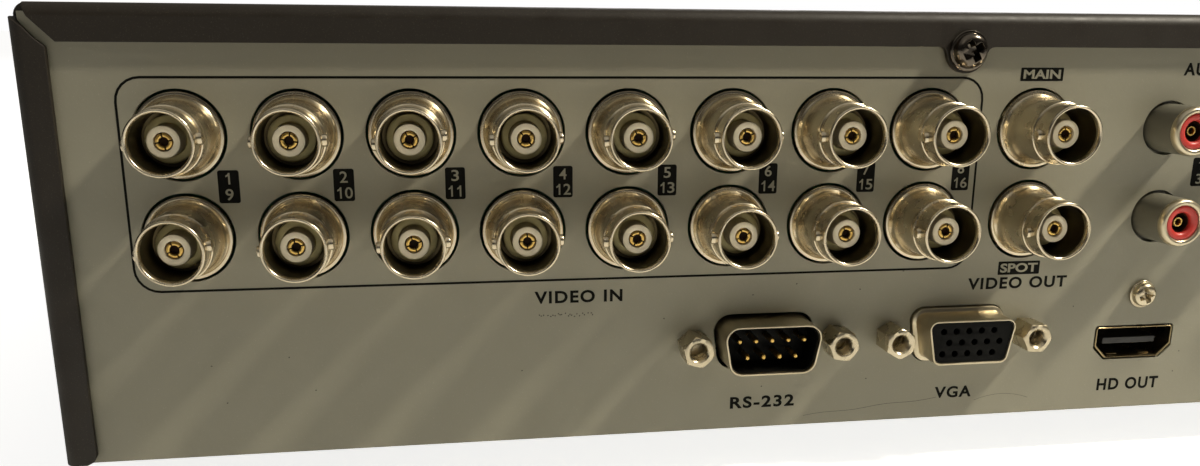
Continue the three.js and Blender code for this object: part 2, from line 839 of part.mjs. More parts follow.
function terminalHeader() {
  const wide = terminalWidth + 2 * terminalWall;
  const inner = terminalHeight - 2 * terminalWall;
  const back = terminalProud - terminalDepth;
  return cut(
    pad(terminalU, terminalV, wide, terminalHeight, back, terminalProud),
    pad(terminalU, terminalV, terminalWidth, inner, back + 1.5, terminalProud + 1),
  );
}

function terminalPlug() {
  const wide = terminalWidth - 2 * plugClear;
  const inner = terminalHeight - 2 * terminalWall - 2 * plugClear;
  const back = terminalProud - terminalDepth + 1.5 + plugClear;
  const nose = pad(terminalU, terminalV, wide, inner, back, terminalProud + 1);
  const head = block(
    [terminalU - terminalWidth / 2, terminalV - terminalHeight / 2, terminalProud + plugClear],
    [terminalU + terminalWidth / 2, terminalV + terminalHeight / 2 + 1, plugProud],
  );
  const ways = [...Array(terminalWays).keys()].map((k) => (
    terminalU + (k - (terminalWays - 1) / 2) * terminalPitch
  ));
  const wireFloor = plugProud - plugWireDepth;
  const wires = ways.map((u) => (
    pad(u, terminalV - terminalHeight / 5, plugWireHole, plugWireHole, wireFloor, plugProud + 1)
  ));
  const screws = ways.map((u) => (
    rod(u, terminalV + terminalHeight / 3, plugScrewRadius, plugProud - 1.2, plugProud + 1, 6)
  ));
  return cut(join(nose, head), ...wires, ...screws);
}

// ---------------------------------------------------------------- fan

function fanFrame() {
  const z1 = panelBack;
  const z0 = z1 - fanDepth;
  const outline = roundedRectangle(fanU, fanV, fanSize, fanSize, 3);
  outline.holes = [roundHole(fanU, fanV, fanBore)];
  const struts = [0, 1].map((k) => {
    const strut = new THREE.BoxGeometry(2 * fanBore + 1, fanStrutWidth, fanStrutThick);
    return strut.rotateZ(Math.PI / 4 + k * Math.PI / 2).translate(fanU, fanV, z0 + fanStrutThick / 2);
  });
  return join(
    prism(outline, z0, z1, 6),
    rod(fanU, fanV, fanHubRadius, z0, z0 + fanStrutThick, ROUND),
    ...struts,
  );
}

// The rotor is turned about its own axis, then placed at the fan's centre.
function fanRotor() {
  const z0 = -fanDepth + fanStrutThick + fanTipClear;
  const z1 = -fanTipClear;
  const tip = fanBore - fanTipClear;
  const height = z1 - z0;
  const blades = [...Array(fanBladeCount).keys()].map((k) => {
    const reach = tip - fanHubRadius + 2;
    const blade = new THREE.BoxGeometry(reach, height, fanBladeThick);
    const tilt = THREE.MathUtils.degToRad(90 - fanBladeTilt);
    return blade.rotateX(tilt)
      .translate(tip - reach / 2 - 0.6, 0, (z0 + z1) / 2)
      .rotateZ(2 * Math.PI * k / fanBladeCount);
  });
  const hub = turned([
    [0, z0], [fanHubRadius, z0], [fanHubRadius, z1 - 1], [fanHubRadius - 1, z1], [0, z1],
  ]);
  return toGeometry(toSolid(join(hub, ...blades)).intersect(toSolid(rod(0, 0, tip, z0, z1, FINE_ROUND))));
}

// ---------------------------------------------------------------- power inlet and switch

const rockerU = inletU + rockerFromModule;

function powerInlet() {
  const socketU = inletU + socketFromModule;
  const mouth = chamferedOutline(socketU, inletV, socketWidth, socketHeight, socketChamfer);
  const face = lap + inletFlangeThick;
  const floor = face - socketDepth;
  const body = join(
    prism(roundedRectangle(inletU, inletV, inletFlangeWidth, inletFlangeHeight, 2), lap, face, 3),
    pad(inletU, inletV, inletBodyWidth, inletBodyHeight, -inletBodyDepth, lap + 1),
  );
  const well = pad(
    rockerU, inletV, rockerWidth + 2 * rockerSideClear, rockerHeight + 2 * rockerEndClear,
    face - rockerWell, face + 1,
  );
  const pins = [[-1, 0.5], [0, -0.5], [1, 0.5]].map(([k, rise]) => pad(
    socketU + k * socketPinPitch, inletV - rise * socketPinHeight, socketPinWidth, socketPinHeight,
    floor - 1, floor + socketPinLength,
  ));
  return join(cut(body, prism(mouth, floor, face + 1), well), ...pins);
}

// The rocker's outer face is a shallow V about the pivot, with its lower half pressed in.
function powerRocker() {
  const half = rockerHeight / 2;
  const rise = half * Math.tan(THREE.MathUtils.degToRad(rockerSwing));
  const [keel, keelHalf] = [-rockerPivotDepth - 1, half * 0.6];
  const outline = new THREE.Shape([
    [-half, rise * 0.1], [0, 0], [half, rise], [keelHalf, keel], [-keelHalf, keel],
  ].map(([along, out]) => new THREE.Vector2(along, out)));
  const wedge = prism(outline, -rockerWidth / 2, rockerWidth / 2);
  // The outline's X runs up the panel, its Y out of it and its depth across it.
  const basis = new THREE.Matrix4().makeBasis(
    new THREE.Vector3(0, 1, 0), new THREE.Vector3(0, 0, 1), new THREE.Vector3(1, 0, 0),
  );
  return wedge.applyMatrix4(basis).translate(rockerU, inletV, lap + inletFlangeThick);
}

// ---------------------------------------------------------------- boards, drives, supply, harness

function heatSink(x, y, z) {
  const half = sinkSize / 2;
  const base = block([x - half, y - half, z - 1], [x + half, y + half, z + 3]);
  const pitch = (sinkSize - sinkFinThick) / (sinkFins - 1);
  const fins = [...Array(sinkFins).keys()].map((k) => {
    const x0 = x - half + k * pitch;
    return block([x0, y - half, z + 2], [x0 + sinkFinThick, y + half, z + sinkHeight]);
  });
  return [base, ...fins];
}

function mainBoard() {
  const z0 = footHeight + boardRise;
  const z1 = z0 + boardThickness;
  const x0 = boardRight - mainBoardWidth;
  const y0 = boardRear - mainBoardDepth;
  const plate = block([x0, y0, z0], [boardRight, boardRear, z1]);
  const chips = [[60, 70, 28], [110, 70, 28], [160, 70, 28], [200, 130, 18]].map(([dx, dy, size]) => (
    block([x0 + dx, y0 + dy, z1 - 1], [x0 + dx + size, y0 + dy + size, z1 + 2])
  ));
  const header = block([x0 + 6, y0 + 40, z1 - 1], [x0 + 16, y0 + 70, z1 + 9]);
  return join(plate, ...chips, header, ...heatSink(x0 + 60, y0 + 130, z1));
}

function videoBoard() {
  const u0 = bncFirstU - videoBoardMargin;
  const u1 = outputU + videoBoardMargin;
  const v1 = bncTopV + videoBoardMargin;
  const v0 = bncTopV - bncRowGap - videoBoardMargin;
  const back = -videoBoardSetback - boardThickness / 2;
  const ribbonSocket = pad((u0 + u1) / 2, v0 + 6, 60, 6, back - 8, back + 0.5);
  return join(block([u0, v0, back], [u1, v1, back + boardThickness]), ribbonSocket);
}

function hardDrive(x) {
  const z0 = footHeight + sheet + railHeight + lap;
  const body = block([x, driveY, z0], [x + driveWidth, driveY + driveDepth, z0 + driveHeight]);
  const lidStep = block(
    [x - 1, driveY - 1, z0 + driveHeight - 2], [x + 6, driveY + driveDepth + 1, z0 + driveHeight + 1],
  );
  const socket = block(
    [x + 20, driveY + driveDepth - 6, z0 + 2], [x + 70, driveY + driveDepth + 1, z0 + 8],
  );
  return cut(body, lidStep, lidStep.clone().translate(driveWidth - 5, 0, 0), socket);
}

function powerSupply() {
  const x0 = supplyRight - supplyWidth;
  const y0 = supplyRear - supplyDepth;
  const z0 = footHeight + boardRise;
  const z1 = z0 + boardThickness;
  const plate = block([x0, y0, z0], [supplyRight, supplyRear, z1]);
  const transformer = block([x0 + 28, y0 + 50, z1 - 1], [x0 + 64, y0 + 92, z1 + 32]);
  const choke = block([x0 + 10, y0 + 110, z1 - 1], [x0 + 34, y0 + 134, z1 + 24]);
  const cans = [[16, 20], [40, 20], [64, 20], [70, 128]].map(([dx, dy]) => (
    rod(x0 + dx, y0 + dy, 8, z1 - 1, z1 + 26)
  ));
  const finPlate = block([x0 + 4, y0 + 40, z1 - 1], [x0 + 7, y0 + 100, z1 + 34]);
  return join(plate, transformer, choke, finPlate, ...cans);
}

// The harness leaves the supply's output end and comes down on the main board's header.
function powerHarness() {
  const x0 = boardRight - mainBoardWidth;
  const y0 = boardRear - mainBoardDepth;
  const z1 = footHeight + boardTop;
  const start = new THREE.Vector3(supplyRight - 14, supplyRear - supplyDepth + 30, z1 + 12);
  const end = new THREE.Vector3(x0 + 11, y0 + 55, z1 + 9 + lap + 4);
  const middle = start.clone().lerp(end, 0.5).setZ(z1 + 24);
  const path = new THREE.CatmullRomCurve3([start, middle, end]);
  const section = new THREE.Shape().absarc(0, 0, harnessRadius, 0, 2 * Math.PI, false);
  const run = new THREE.ExtrudeGeometry(section, { steps: 16, extrudePath: path, curveSegments: 4 });
  const housing = (at, length) => block(
    [at.x - 6, at.y - length / 2, at.z - 4], [at.x + 6, at.y + length / 2, at.z + 4],
  );
  return join(run, housing(start, 20), housing(end, 26));
}

// ---------------------------------------------------------------- front bezel and controls

const powerB = powerRise;
const usbFrontB = frontUsbRise;

function frontBezel() {
  const face = roundedRectangle(caseWidth / 2, caseHeight / 2, caseWidth, caseHeight, bezelCorner);
  const shell = prism(face, lap, bezelDepth);
  const cavity = block(
    [bezelWall, bezelWall, 0], [caseWidth - bezelWall, caseHeight - bezelWall, bezelInner],
  );
  const through = [bezelInner - 1, bezelDepth + 1];
  const buttonHole = (a) => prism(roundedRectangle(
    a, controlB, buttonWidth + 2 * buttonClear, buttonHeight + 2 * buttonClear, 2,
  ), ...through, 3);
  const windowHole = pad(windowA, controlB, windowWidth + 2 * lap, windowHeight + 2 * lap, ...through);
  return cut(
    shell, cavity, windowHole, buttonHole(menuA), buttonHole(recordA),
    rod(dialA, controlB, dialRadius + dialClear, ...through, FINE_ROUND),
    rod(powerA, powerB, powerRadius + buttonClear, ...through, ROUND),
    pad(powerA, usbFrontB, usbWidth + 2 * panelClear, frontUsbHeight + 2 * panelClear, ...through),
  );
}

const frontUsbHeight = usbPortHeight + 1;
const stemEnd = frontBoardFront + switchHeight + buttonTravel + lap;
const flangeFront = bezelInner - lap;

function keyButton(a) {
  const cap = roundedRectangle(a, controlB, buttonWidth, buttonHeight, 1.8);
  const [wide, high] = [buttonWidth + 2 * buttonFlange, buttonHeight + 2 * buttonFlange];
  return join(
    prism(cap, flangeFront - 1, bezelDepth + buttonProud, 3),
    pad(a, controlB, wide, high, flangeFront - 2, flangeFront),
    pad(a, controlB, 3, 3, stemEnd, flangeFront - 1),
  );
}

function powerButton() {
  return turned([
    [0, stemEnd], [1.5, stemEnd], [1.5, flangeFront - 2], [powerRadius + buttonFlange, flangeFront - 2],
    [powerRadius + buttonFlange, flangeFront], [powerRadius, flangeFront],
    [powerRadius, bezelDepth + buttonProud], [0, bezelDepth + buttonProud],
  ], powerA, powerB);
}

const encoderFront = frontBoardFront + 5;

// The dial is turned about its own axis, then placed on the front.
function jogDial() {
  const top = bezelDepth + dialProud;
  const dial = turned([
    [0, encoderFront + lap], [dialShaft, encoderFront + lap], [dialShaft, top - dialThick],
    [dialRadius, top - dialThick], [dialRadius, top - 1], [dialRadius - 1, top], [0, top],
  ], 0, 0, FINE_ROUND);
  const dimple = new THREE.SphereGeometry(dialDimple, 12, 8);
  return cut(dial, dimple.translate(0, dialRadius * 0.55, top + dialDimple * 0.6));
}

function statusWindow() {
  return join(
    pad(windowA, controlB, windowWidth, windowHeight, flangeFront - 1, bezelDepth),
    pad(windowA, controlB, windowWidth + 4, windowHeight + 4, flangeFront - 1.5, flangeFront),
  );
}

function usbFront() {
  const back = bezelDepth - usbDepth + portProud;
  const body = pad(powerA, usbFrontB, usbWidth, frontUsbHeight, back, bezelDepth);
  const port = pad(powerA, usbFrontB, usbPortWidth, usbPortHeight, back + 3, bezelDepth + 1);
  return join(cut(body, port), usbTongue(powerA, usbFrontB, back + 2, bezelDepth));
}

function frontBoard() {
  const z0 = frontBoardGap;
  const z1 = frontBoardFront;
  const plate = pad(caseWidth / 2, controlB, frontBoardWidth, frontBoardHeight, z0, z1);
  const switches = [[menuA, controlB], [recordA, controlB], [powerA, powerB]].map(([a, b]) => (
    pad(a, b, switchBlock, switchBlock, z1 - 0.5, z1 + switchHeight)
  ));
  const encoder = pad(dialA, controlB, 2 * switchBlock, 2 * switchBlock, z1 - 0.5, encoderFront);
  return join(plate, ...switches, encoder);
}

// ---------------------------------------------------------------- put together

addPiece(recorder, 'chassis_pan', chassisPan(), finishes.panelGrey);
addPiece(recorder, 'top_cover', topCover(), finishes.coverBlack);

const footX = caseWidth / 2 - footInsetX;
const footYs = [frontY + footInsetY, panelY - footInsetY];
const footPlaces = [
  ['foot_front_left', -footX, footYs[0]], ['foot_front_right', footX, footYs[0]],
  ['foot_rear_left', -footX, footYs[1]], ['foot_rear_right', footX, footYs[1]],
];
for (const [name, x, y] of footPlaces) {
  addPiece(recorder, name, foot(x, y), finishes.rubber);
}

coverTabs.forEach((u, i) => {
  const seat = 2 * lap + sheet;
  const screw = panScrew(
    u, -screwDrop, coverScrewHead, coverScrewHeadHeight, coverScrewShank, coverScrewLength, seat,
  );
  addPiece(rear, `cover_screw_${i + 1}`, screw, finishes.blackChrome);
});

for (const { name, u, v } of bncPlaces()) {
  addPiece(rear, name, bnc(u, v), finishes.nickel);
}
addPiece(rear, 'audio_jacks', audioJacks(), finishes.greyPlastic);

addPiece(rear, 'serial_shell', dShell(serialU, serialWidth, serialHeight), finishes.steel);
addPiece(rear, 'serial_insert', serialInsert(), finishes.blackPlastic);
addPiece(rear, 'vga_shell', dShell(vgaU, vgaWidth, vgaHeight), finishes.steel);
addPiece(rear, 'vga_insert', vgaInsert(), finishes.blackPlastic);
for (const [name, u] of jackPlaces) {
  addPiece(rear, name, jackscrew(u), finishes.steel);
}

const digitalScrew = panScrew(
  digitalU + digitalScrewOffset, digitalScrewRise - caseHeight, smallHead, smallHeadHeight, smallShank,
  smallScrewLength, lap,
);
const groundScrew = panScrew(
  groundU, groundRise - caseHeight, coverScrewHead, coverScrewHeadHeight, smallShank, coverScrewLength, lap,
);
addPiece(rear, 'digital_port', digitalPort(), finishes.steel);
addPiece(rear, 'digital_screw', digitalScrew, finishes.steel);
addPiece(rear, 'usb_rear', usbRear(), finishes.steel);
addPiece(rear, 'lan_jack', lanJack(), finishes.steel);
addPiece(rear, 'terminal_header', terminalHeader(), finishes.greenPlastic);
addPiece(rear, 'terminal_plug', terminalPlug(), finishes.greenPlastic);
addPiece(rear, 'ground_screw', groundScrew, finishes.steel);
addPiece(rear, 'power_inlet', powerInlet(), finishes.blackPlastic);
addPiece(rear, 'power_rocker', powerRocker(), finishes.blackPlastic);

addPiece(rear, 'fan_frame', fanFrame(), finishes.blackPlastic);
const rotor = addPiece(rear, 'fan_rotor', fanRotor(), finishes.blackPlastic);
rotor.position.set(fanU, fanV, panelBack);

addPiece(recorder, 'mainboard', mainBoard(), finishes.board);
addPiece(rear, 'video_board', videoBoard(), finishes.board);
driveStarts.forEach((x, i) => {
  addPiece(recorder, `hard_drive_${i + 1}`, hardDrive(x), finishes.aluminium);
});
addPiece(recorder, 'power_supply', powerSupply(), finishes.board);
addPiece(recorder, 'power_harness', powerHarness(), finishes.blackPlastic);

addPiece(front, 'front_bezel', frontBezel(), finishes.bezelBlack);
addPiece(front, 'front_board', frontBoard(), finishes.board);
addPiece(front, 'status_window', statusWindow(), finishes.smoked);
addPiece(front, 'menu_button', keyButton(menuA), finishes.silverPlastic);
addPiece(front, 'record_button', keyButton(recordA), finishes.silverPlastic);
addPiece(front, 'power_button', powerButton(), finishes.silverPlastic);
addPiece(front, 'usb_front', usbFront(), finishes.steel);
const dial = addPiece(front, 'jog_dial', jogDial(), finishes.silverPlastic);
dial.position.set(dialA, controlB, 0);

export default recorder;
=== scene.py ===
# %% [markdown]
# # A surveillance video recorder, built around its connector panel
#
# The recorder is a low steel case with a dark cover folded over a light grey pan. The pan's rear wall
# carries the sockets, and that wall is what the camera looks at. The moving parts and every size are
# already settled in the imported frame, so this lesson makes only the surfaces: rounded sheet bends, turned
# sockets, printed words, and the paint, plating and plastic they are made of.

# %% Load the fixed frame
import math
import random

import bmesh
import bpy
from mathutils import Matrix, Vector


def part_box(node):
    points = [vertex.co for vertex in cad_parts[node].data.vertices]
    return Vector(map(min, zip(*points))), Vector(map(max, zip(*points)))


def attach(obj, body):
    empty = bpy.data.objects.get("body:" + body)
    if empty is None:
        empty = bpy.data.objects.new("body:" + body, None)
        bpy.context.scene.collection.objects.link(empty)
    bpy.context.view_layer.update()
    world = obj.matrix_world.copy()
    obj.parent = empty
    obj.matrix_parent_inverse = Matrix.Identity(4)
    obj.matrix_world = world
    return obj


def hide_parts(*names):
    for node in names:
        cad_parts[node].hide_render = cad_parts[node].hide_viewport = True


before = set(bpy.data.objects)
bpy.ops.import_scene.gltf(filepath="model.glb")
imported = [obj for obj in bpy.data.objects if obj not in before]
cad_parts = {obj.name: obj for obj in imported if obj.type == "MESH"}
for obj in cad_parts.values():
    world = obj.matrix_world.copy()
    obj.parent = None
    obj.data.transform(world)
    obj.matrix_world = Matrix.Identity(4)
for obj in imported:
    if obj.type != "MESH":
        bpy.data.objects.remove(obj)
bpy.context.view_layer.update()

# %% [markdown]
# ## Two drawing boards
#
# Pieces on the connector panel are drawn in millimetres on the panel itself: u runs to the right as seen
# from behind, v runs up from the cover's top, and w runs out of the panel. Pieces on the front are drawn
# the same way as seen from the front, with b measured up from the case's underside. One matrix takes each
# board to the frame, so a finished mesh keeps its place in its vertices and its object stays at the origin.

# %% Panel and front drawing boards
MM = 0.001
cover_low, cover_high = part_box("top_cover")
pan_low, pan_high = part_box("chassis_pan")

PANEL = Matrix((
    (-MM, 0, 0, cover_high.x),
    (0, 0, MM, pan_high.y),
    (0, MM, 0, cover_high.z),
    (0, 0, 0, 1),
))
FRONT = Matrix((
    (MM, 0, 0, cover_low.x),
    (0, 0, -MM, pan_low.y),
    (0, MM, 0, pan_low.z),
    (0, 0, 0, 1),
))
CASE_WIDTH = (cover_high.x - cover_low.x) / MM
CASE_HEIGHT = (cover_high.z - pan_low.z) / MM
CASE_DEPTH = (pan_high.y - pan_low.y) / MM


def board_box(node, board=PANEL):
    """Lowest and highest corner of a CAD node in a drawing board's millimetres."""
    low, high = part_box(node)
    a, b = board.inverted() @ low, board.inverted() @ high
    return Vector(map(min, a, b)), Vector(map(max, a, b))


def middle(node, board=PANEL):
    low, high = board_box(node, board)
    return (low + high) / 2


print("case, mm:", round(CASE_WIDTH, 1), round(CASE_DEPTH, 1), round(CASE_HEIGHT, 1))

# %% [markdown]
# ## Shapes from a few rules
#
# Nearly everything on an electronics panel is turned, punched, extruded or folded. So a handful of helpers
# draw those four kinds of shape, and each piece below is a short recipe. They return plain meshes in board
# millimetres. A modifier stack would do as well, but a rule written out in points is easier to read and to
# size.

# %% Outlines
ROUND_STEPS = 64


def circle(u, v, radius, steps=ROUND_STEPS):
    turns = [2 * math.pi * k / steps for k in range(steps)]
    return [(u + radius * math.cos(t), v + radius * math.sin(t)) for t in turns]


def rounded(corners, radius, steps=6):
    """An outline through the corners, each rounded by an arc that touches both of its sides."""
    points = []
    count = len(corners)
    for k in range(count):
        corner = Vector(corners[k])
        before = (Vector(corners[k - 1]) - corner).normalized()
        after = (Vector(corners[(k + 1) % count]) - corner).normalized()
        half = before.angle(after) / 2
        centre = corner + (before + after).normalized() * (radius / math.sin(half))
        start = corner + before * (radius / math.tan(half)) - centre
        sweep = start.angle_signed(corner + after * (radius / math.tan(half)) - centre)
        for step in range(steps + 1):
            turn = -sweep * step / steps
            arm = Matrix.Rotation(turn, 2) @ start
            points.append(tuple(centre + arm))
    return points


def rectangle(u, v, width, height):
    a, b = width / 2, height / 2
    return [(u - a, v - b), (u + a, v - b), (u + a, v + b), (u - a, v + b)]


def d_outline(u, v, width, height, radius, grow=0.0, slant=0.18):
    """The D of a serial or monitor socket: wide at the top, with leaning ends."""
    a, b = width / 2 + grow, height / 2 + grow
    inset = height * slant
    corners = [(u - a + inset, v - b), (u + a - inset, v - b), (u + a, v + b), (u - a, v + b)]
    return rounded(corners, radius + grow)


def slot_outline(u, v, width, height):
    return rounded(rectangle(u, v, width, height), width / 2 - 0.01, 8)


# %% Solids
def mesh_of(points, faces):
    mesh = bpy.data.meshes.new("draft")
    mesh.from_pydata([tuple(p) for p in points], [], [tuple(f) for f in faces])
    return mesh


def turned(profile, steps=ROUND_STEPS, at=(0, 0)):
    """Turns a (radius, w) profile about w. It starts and ends on the axis, or runs round in a loop."""
    points, rings = [], []
    for radius, depth in profile:
        if radius == 0:
            rings.append([len(points)] * steps)
            points.append((at[0], at[1], depth))
        else:
            rings.append(list(range(len(points), len(points) + steps)))
            points += [(u, v, depth) for u, v in circle(at[0], at[1], radius, steps)]
    if profile[0][0] != 0:
        rings.append(rings[0])
    faces = []
    for low, high in zip(rings, rings[1:]):
        for k in range(steps):
            n = (k + 1) % steps
            corners = list(dict.fromkeys([low[k], low[n], high[n], high[k]]))
            if len(corners) > 2:
                faces.append(corners)
    return mesh_of(points, faces)


def lofted(sections, capped=False):
    """Walls between outlines of equal length, each with its w. Without caps the last joins the first."""
    count = len(sections[0][0])
    points = [(u, v, w) for outline, w in sections for u, v in outline]
    faces = []
    pairs = len(sections) - 1 if capped else len(sections)
    for s in range(pairs):
        low, high = s * count, (s + 1) % len(sections) * count
        for k in range(count):
            n = (k + 1) % count
            faces.append([low + k, low + n, high + n, high + k])
    if capped:
        faces.append(list(range(count))[::-1])
        faces.append([(len(sections) - 1) * count + k for k in range(count)])
    return mesh_of(points, faces)


# %% Blocks and punched sheets
def prism(outline, w0, w1):
    return lofted([(outline, w0), (outline, w1)], capped=True)


def slab(low, high):
    """A block between two corners."""
    outline = [(low[0], low[1]), (high[0], low[1]), (high[0], high[1]), (low[0], high[1])]
    return prism(outline, low[2], high[2])


def punched(outline, holes, w0, w1):
    """A sheet with holes: Blender fills a flat curve between its outer and inner loops."""
    curve = bpy.data.curves.new("sheet", "CURVE")
    curve.dimensions = "2D"
    curve.fill_mode = "BOTH"
    curve.extrude = (w1 - w0) / 2
    for loop in [outline, *holes]:
        spline = curve.splines.new("POLY")
        spline.points.add(len(loop) - 1)
        for point, (u, v) in zip(spline.points, loop):
            point.co = (u, v, 0, 1)
        spline.use_cyclic_u = True
    mesh = applied(bpy.data.objects.new("sheet", curve))
    mesh.transform(Matrix.Translation((0, 0, (w0 + w1) / 2)))
    return welded(mesh)


# %% Plain meshes from drafts
def welded(mesh, distance=1e-4):
    """Joins doubled points and turns every face outwards."""
    work = bmesh.new()
    work.from_mesh(mesh)
    bmesh.ops.remove_doubles(work, verts=work.verts, dist=distance)
    bmesh.ops.recalc_face_normals(work, faces=work.faces)
    work.to_mesh(mesh)
    work.free()
    return mesh


def applied(draft):
    """The plain mesh of an object with its modifiers applied. The object itself is removed."""
    bpy.context.scene.collection.objects.link(draft)
    graph = bpy.context.evaluated_depsgraph_get()
    mesh = bpy.data.meshes.new_from_object(draft.evaluated_get(graph))
    bpy.data.objects.remove(draft)
    return mesh


def together(*meshes):
    work = bmesh.new()
    for mesh in meshes:
        work.from_mesh(mesh)
    whole = bpy.data.meshes.new("draft")
    work.to_mesh(whole)
    work.free()
    return whole


# %% Eased edges and cuts
def eased(mesh, radius, segments=2, angle=35):
    """Rounds the sharp edges of a mesh."""
    draft = bpy.data.objects.new("draft", welded(mesh))
    bevel = draft.modifiers.new("ease", "BEVEL")
    bevel.width = radius
    bevel.segments = segments
    bevel.angle_limit = math.radians(angle)
    bevel.use_clamp_overlap = True
    return applied(draft)


def carved(mesh, *tools):
    """Cuts the tools' solids out of a mesh."""
    draft = bpy.data.objects.new("draft", welded(mesh))
    cutters = [bpy.data.objects.new("tool", welded(tool)) for tool in tools]
    for cutter in cutters:
        bpy.context.scene.collection.objects.link(cutter)
        cut = draft.modifiers.new("cut", "BOOLEAN")
        cut.operation = "DIFFERENCE"
        cut.solver = "EXACT"
        cut.object = cutter
    mesh = applied(draft)
    for cutter in cutters:
        bpy.data.objects.remove(cutter)
    return mesh


# %% Finishing a piece
def flat_faced(mesh):
    """Weights the normals by area, so that wide faces stay flat beside their eased edges."""
    draft = bpy.data.objects.new("draft", mesh)
    draft.modifiers.new("flat", "WEIGHTED_NORMAL").keep_sharp = True
    return applied(draft)


def piece(name, mesh, material, nodes=(), board=PANEL, body="case", crease=35):
    """Finishes a mesh: welded, faces outwards, taken to its place, given its finish and its body."""
    welded(mesh)
    mesh.transform(board)
    if board.determinant() < 0:
        mesh.flip_normals()
    mesh.shade_smooth()
    mesh.set_sharp_from_angle(angle=math.radians(crease))
    mesh = flat_faced(mesh)
    mesh.materials.clear()
    mesh.materials.append(material)
    mesh.name = name
    shown = bpy.data.objects.new(name, mesh)
    bpy.context.scene.collection.objects.link(shown)
    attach(shown, body)
    if nodes:
        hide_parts(*nodes)
    print(f"{name}: {len(mesh.polygons)} faces")


# %% [markdown]
# ## Repeats with Geometry Nodes
#
# The sockets, pins, screws and feet repeat. One is drawn, and a small node tree sets a copy on each place,
# gives every copy its own turn about its axis from a fixed seed, makes the copies real and sets their
# finish. The result is baked to a plain mesh. A loop of joined copies would look the same, but the tree
# keeps the places editable.

# %% The repeating tree
def wired(tree, *wires):
    """Links sockets, each wire given as (node, output, node, input)."""
    for source, output, target, entry in wires:
        tree.links.new(source.outputs[output], target.inputs[entry])


def repeating_tree(master, material):
    tree = bpy.data.node_groups.new("set_on_places", "GeometryNodeTree")
    tree.interface.new_socket("Places", in_out="INPUT", socket_type="NodeSocketGeometry")
    tree.interface.new_socket("Largest turn", in_out="INPUT", socket_type="NodeSocketFloat")
    tree.interface.new_socket("Seed", in_out="INPUT", socket_type="NodeSocketInt")
    tree.interface.new_socket("Pieces", in_out="OUTPUT", socket_type="NodeSocketGeometry")
    entry = tree.nodes.new("NodeGroupInput")
    exit_node = tree.nodes.new("NodeGroupOutput")
    source = tree.nodes.new("GeometryNodeObjectInfo")
    source.inputs["Object"].default_value = master
    chance = tree.nodes.new("FunctionNodeRandomValue")
    chance.data_type = "FLOAT"
    turn = tree.nodes.new("ShaderNodeCombineXYZ")
    copies = tree.nodes.new("GeometryNodeInstanceOnPoints")
    real = tree.nodes.new("GeometryNodeRealizeInstances")
    dress = tree.nodes.new("GeometryNodeSetMaterial")
    dress.inputs["Material"].default_value = material
    wired(
        tree, (entry, "Largest turn", chance, 3), (entry, "Seed", chance, "Seed"), (chance, 1, turn, "Z"),
        (entry, "Places", copies, "Points"), (source, "Geometry", copies, "Instance"),
        (turn, "Vector", copies, "Rotation"), (copies, "Instances", real, "Geometry"),
        (real, "Geometry", dress, "Geometry"), (dress, "Geometry", exit_node, "Pieces"),
    )
    return tree


# %% Copies on places
def set_input(modifier, title, value):
    """Sets a modifier's input by its identifier, found from its title."""
    for item in modifier.node_group.interface.items_tree:
        if item.item_type == "SOCKET" and item.in_out == "INPUT" and item.name == title:
            modifier[item.identifier] = value


def repeated(master_mesh, places, material, largest_turn=0.0, seed=1):
    """One mesh holding a copy of the master at each (u, v, w) place."""
    master = bpy.data.objects.new("master", welded(master_mesh))
    bpy.context.scene.collection.objects.link(master)
    spots = bpy.data.objects.new("places", mesh_of(places, []))
    modifier = spots.modifiers.new("repeat", "NODES")
    modifier.node_group = repeating_tree(master, material)
    set_input(modifier, "Largest turn", largest_turn)
    set_input(modifier, "Seed", seed)
    mesh = applied(spots)
    bpy.data.objects.remove(master)
    return mesh


def turned_set(name, profile, steps, places, material, nodes=(), board=PANEL):
    """A piece that is one turned shape set on many places."""
    shapes = repeated(turned(profile, steps), places, material)
    piece(name, shapes, material, nodes, board)


# %% [markdown]
# ## Camera
#
# The view is a close one: the lens is moderately wide and stands about 16 cm from the panel, level with the
# cover's top, turned down and to the right, so rims near the left edge lean outwards. The small lens shift
# keeps the panel's verticals where a level frame puts them.

# %% Set up the camera
CAMERA_PLACE = (60.3, -3.5, 162.0)
CAMERA_AIM = (87.1, -45.9, 0.0)
CAMERA_ROLL = -0.45
LENS = 30.9
LENS_SHIFT = (-0.0127, 0.0537)


def look_from(place, aim, roll_degrees):
    """A camera matrix at a place on the panel board, looking at another, rolled about its line of sight."""
    start = PANEL @ Vector(place)
    sight = (PANEL @ Vector(aim) - start).normalized()
    level = sight.to_track_quat("-Z", "Y").to_matrix().to_4x4()
    roll = Matrix.Rotation(math.radians(-roll_degrees), 4, "Z")
    return Matrix.Translation(start) @ level @ roll


lens = bpy.data.cameras.new("panel_view")
lens.lens = LENS
lens.sensor_width = 36
lens.shift_x, lens.shift_y = LENS_SHIFT
lens.clip_start = 0.01
camera = bpy.data.objects.new("panel_view", lens)
camera.matrix_world = look_from(CAMERA_PLACE, CAMERA_AIM, CAMERA_ROLL)
bpy.context.scene.collection.objects.link(camera)
bpy.context.scene.camera = camera
print("camera to its aim, mm:", round((Vector(CAMERA_AIM) - Vector(CAMERA_PLACE)).length))

# %% [markdown]
# ## Finishes
#
# Each finish is a small node tree on Object coordinates, so a pattern has its real size in metres. Paint
# has a fine orange-peel bump and slight clouding. Plating is smooth, with faint wipe marks in its
# roughness. Plastic has a moulded grain. What is the same all over is set on the shader; only what varies
# is linked.

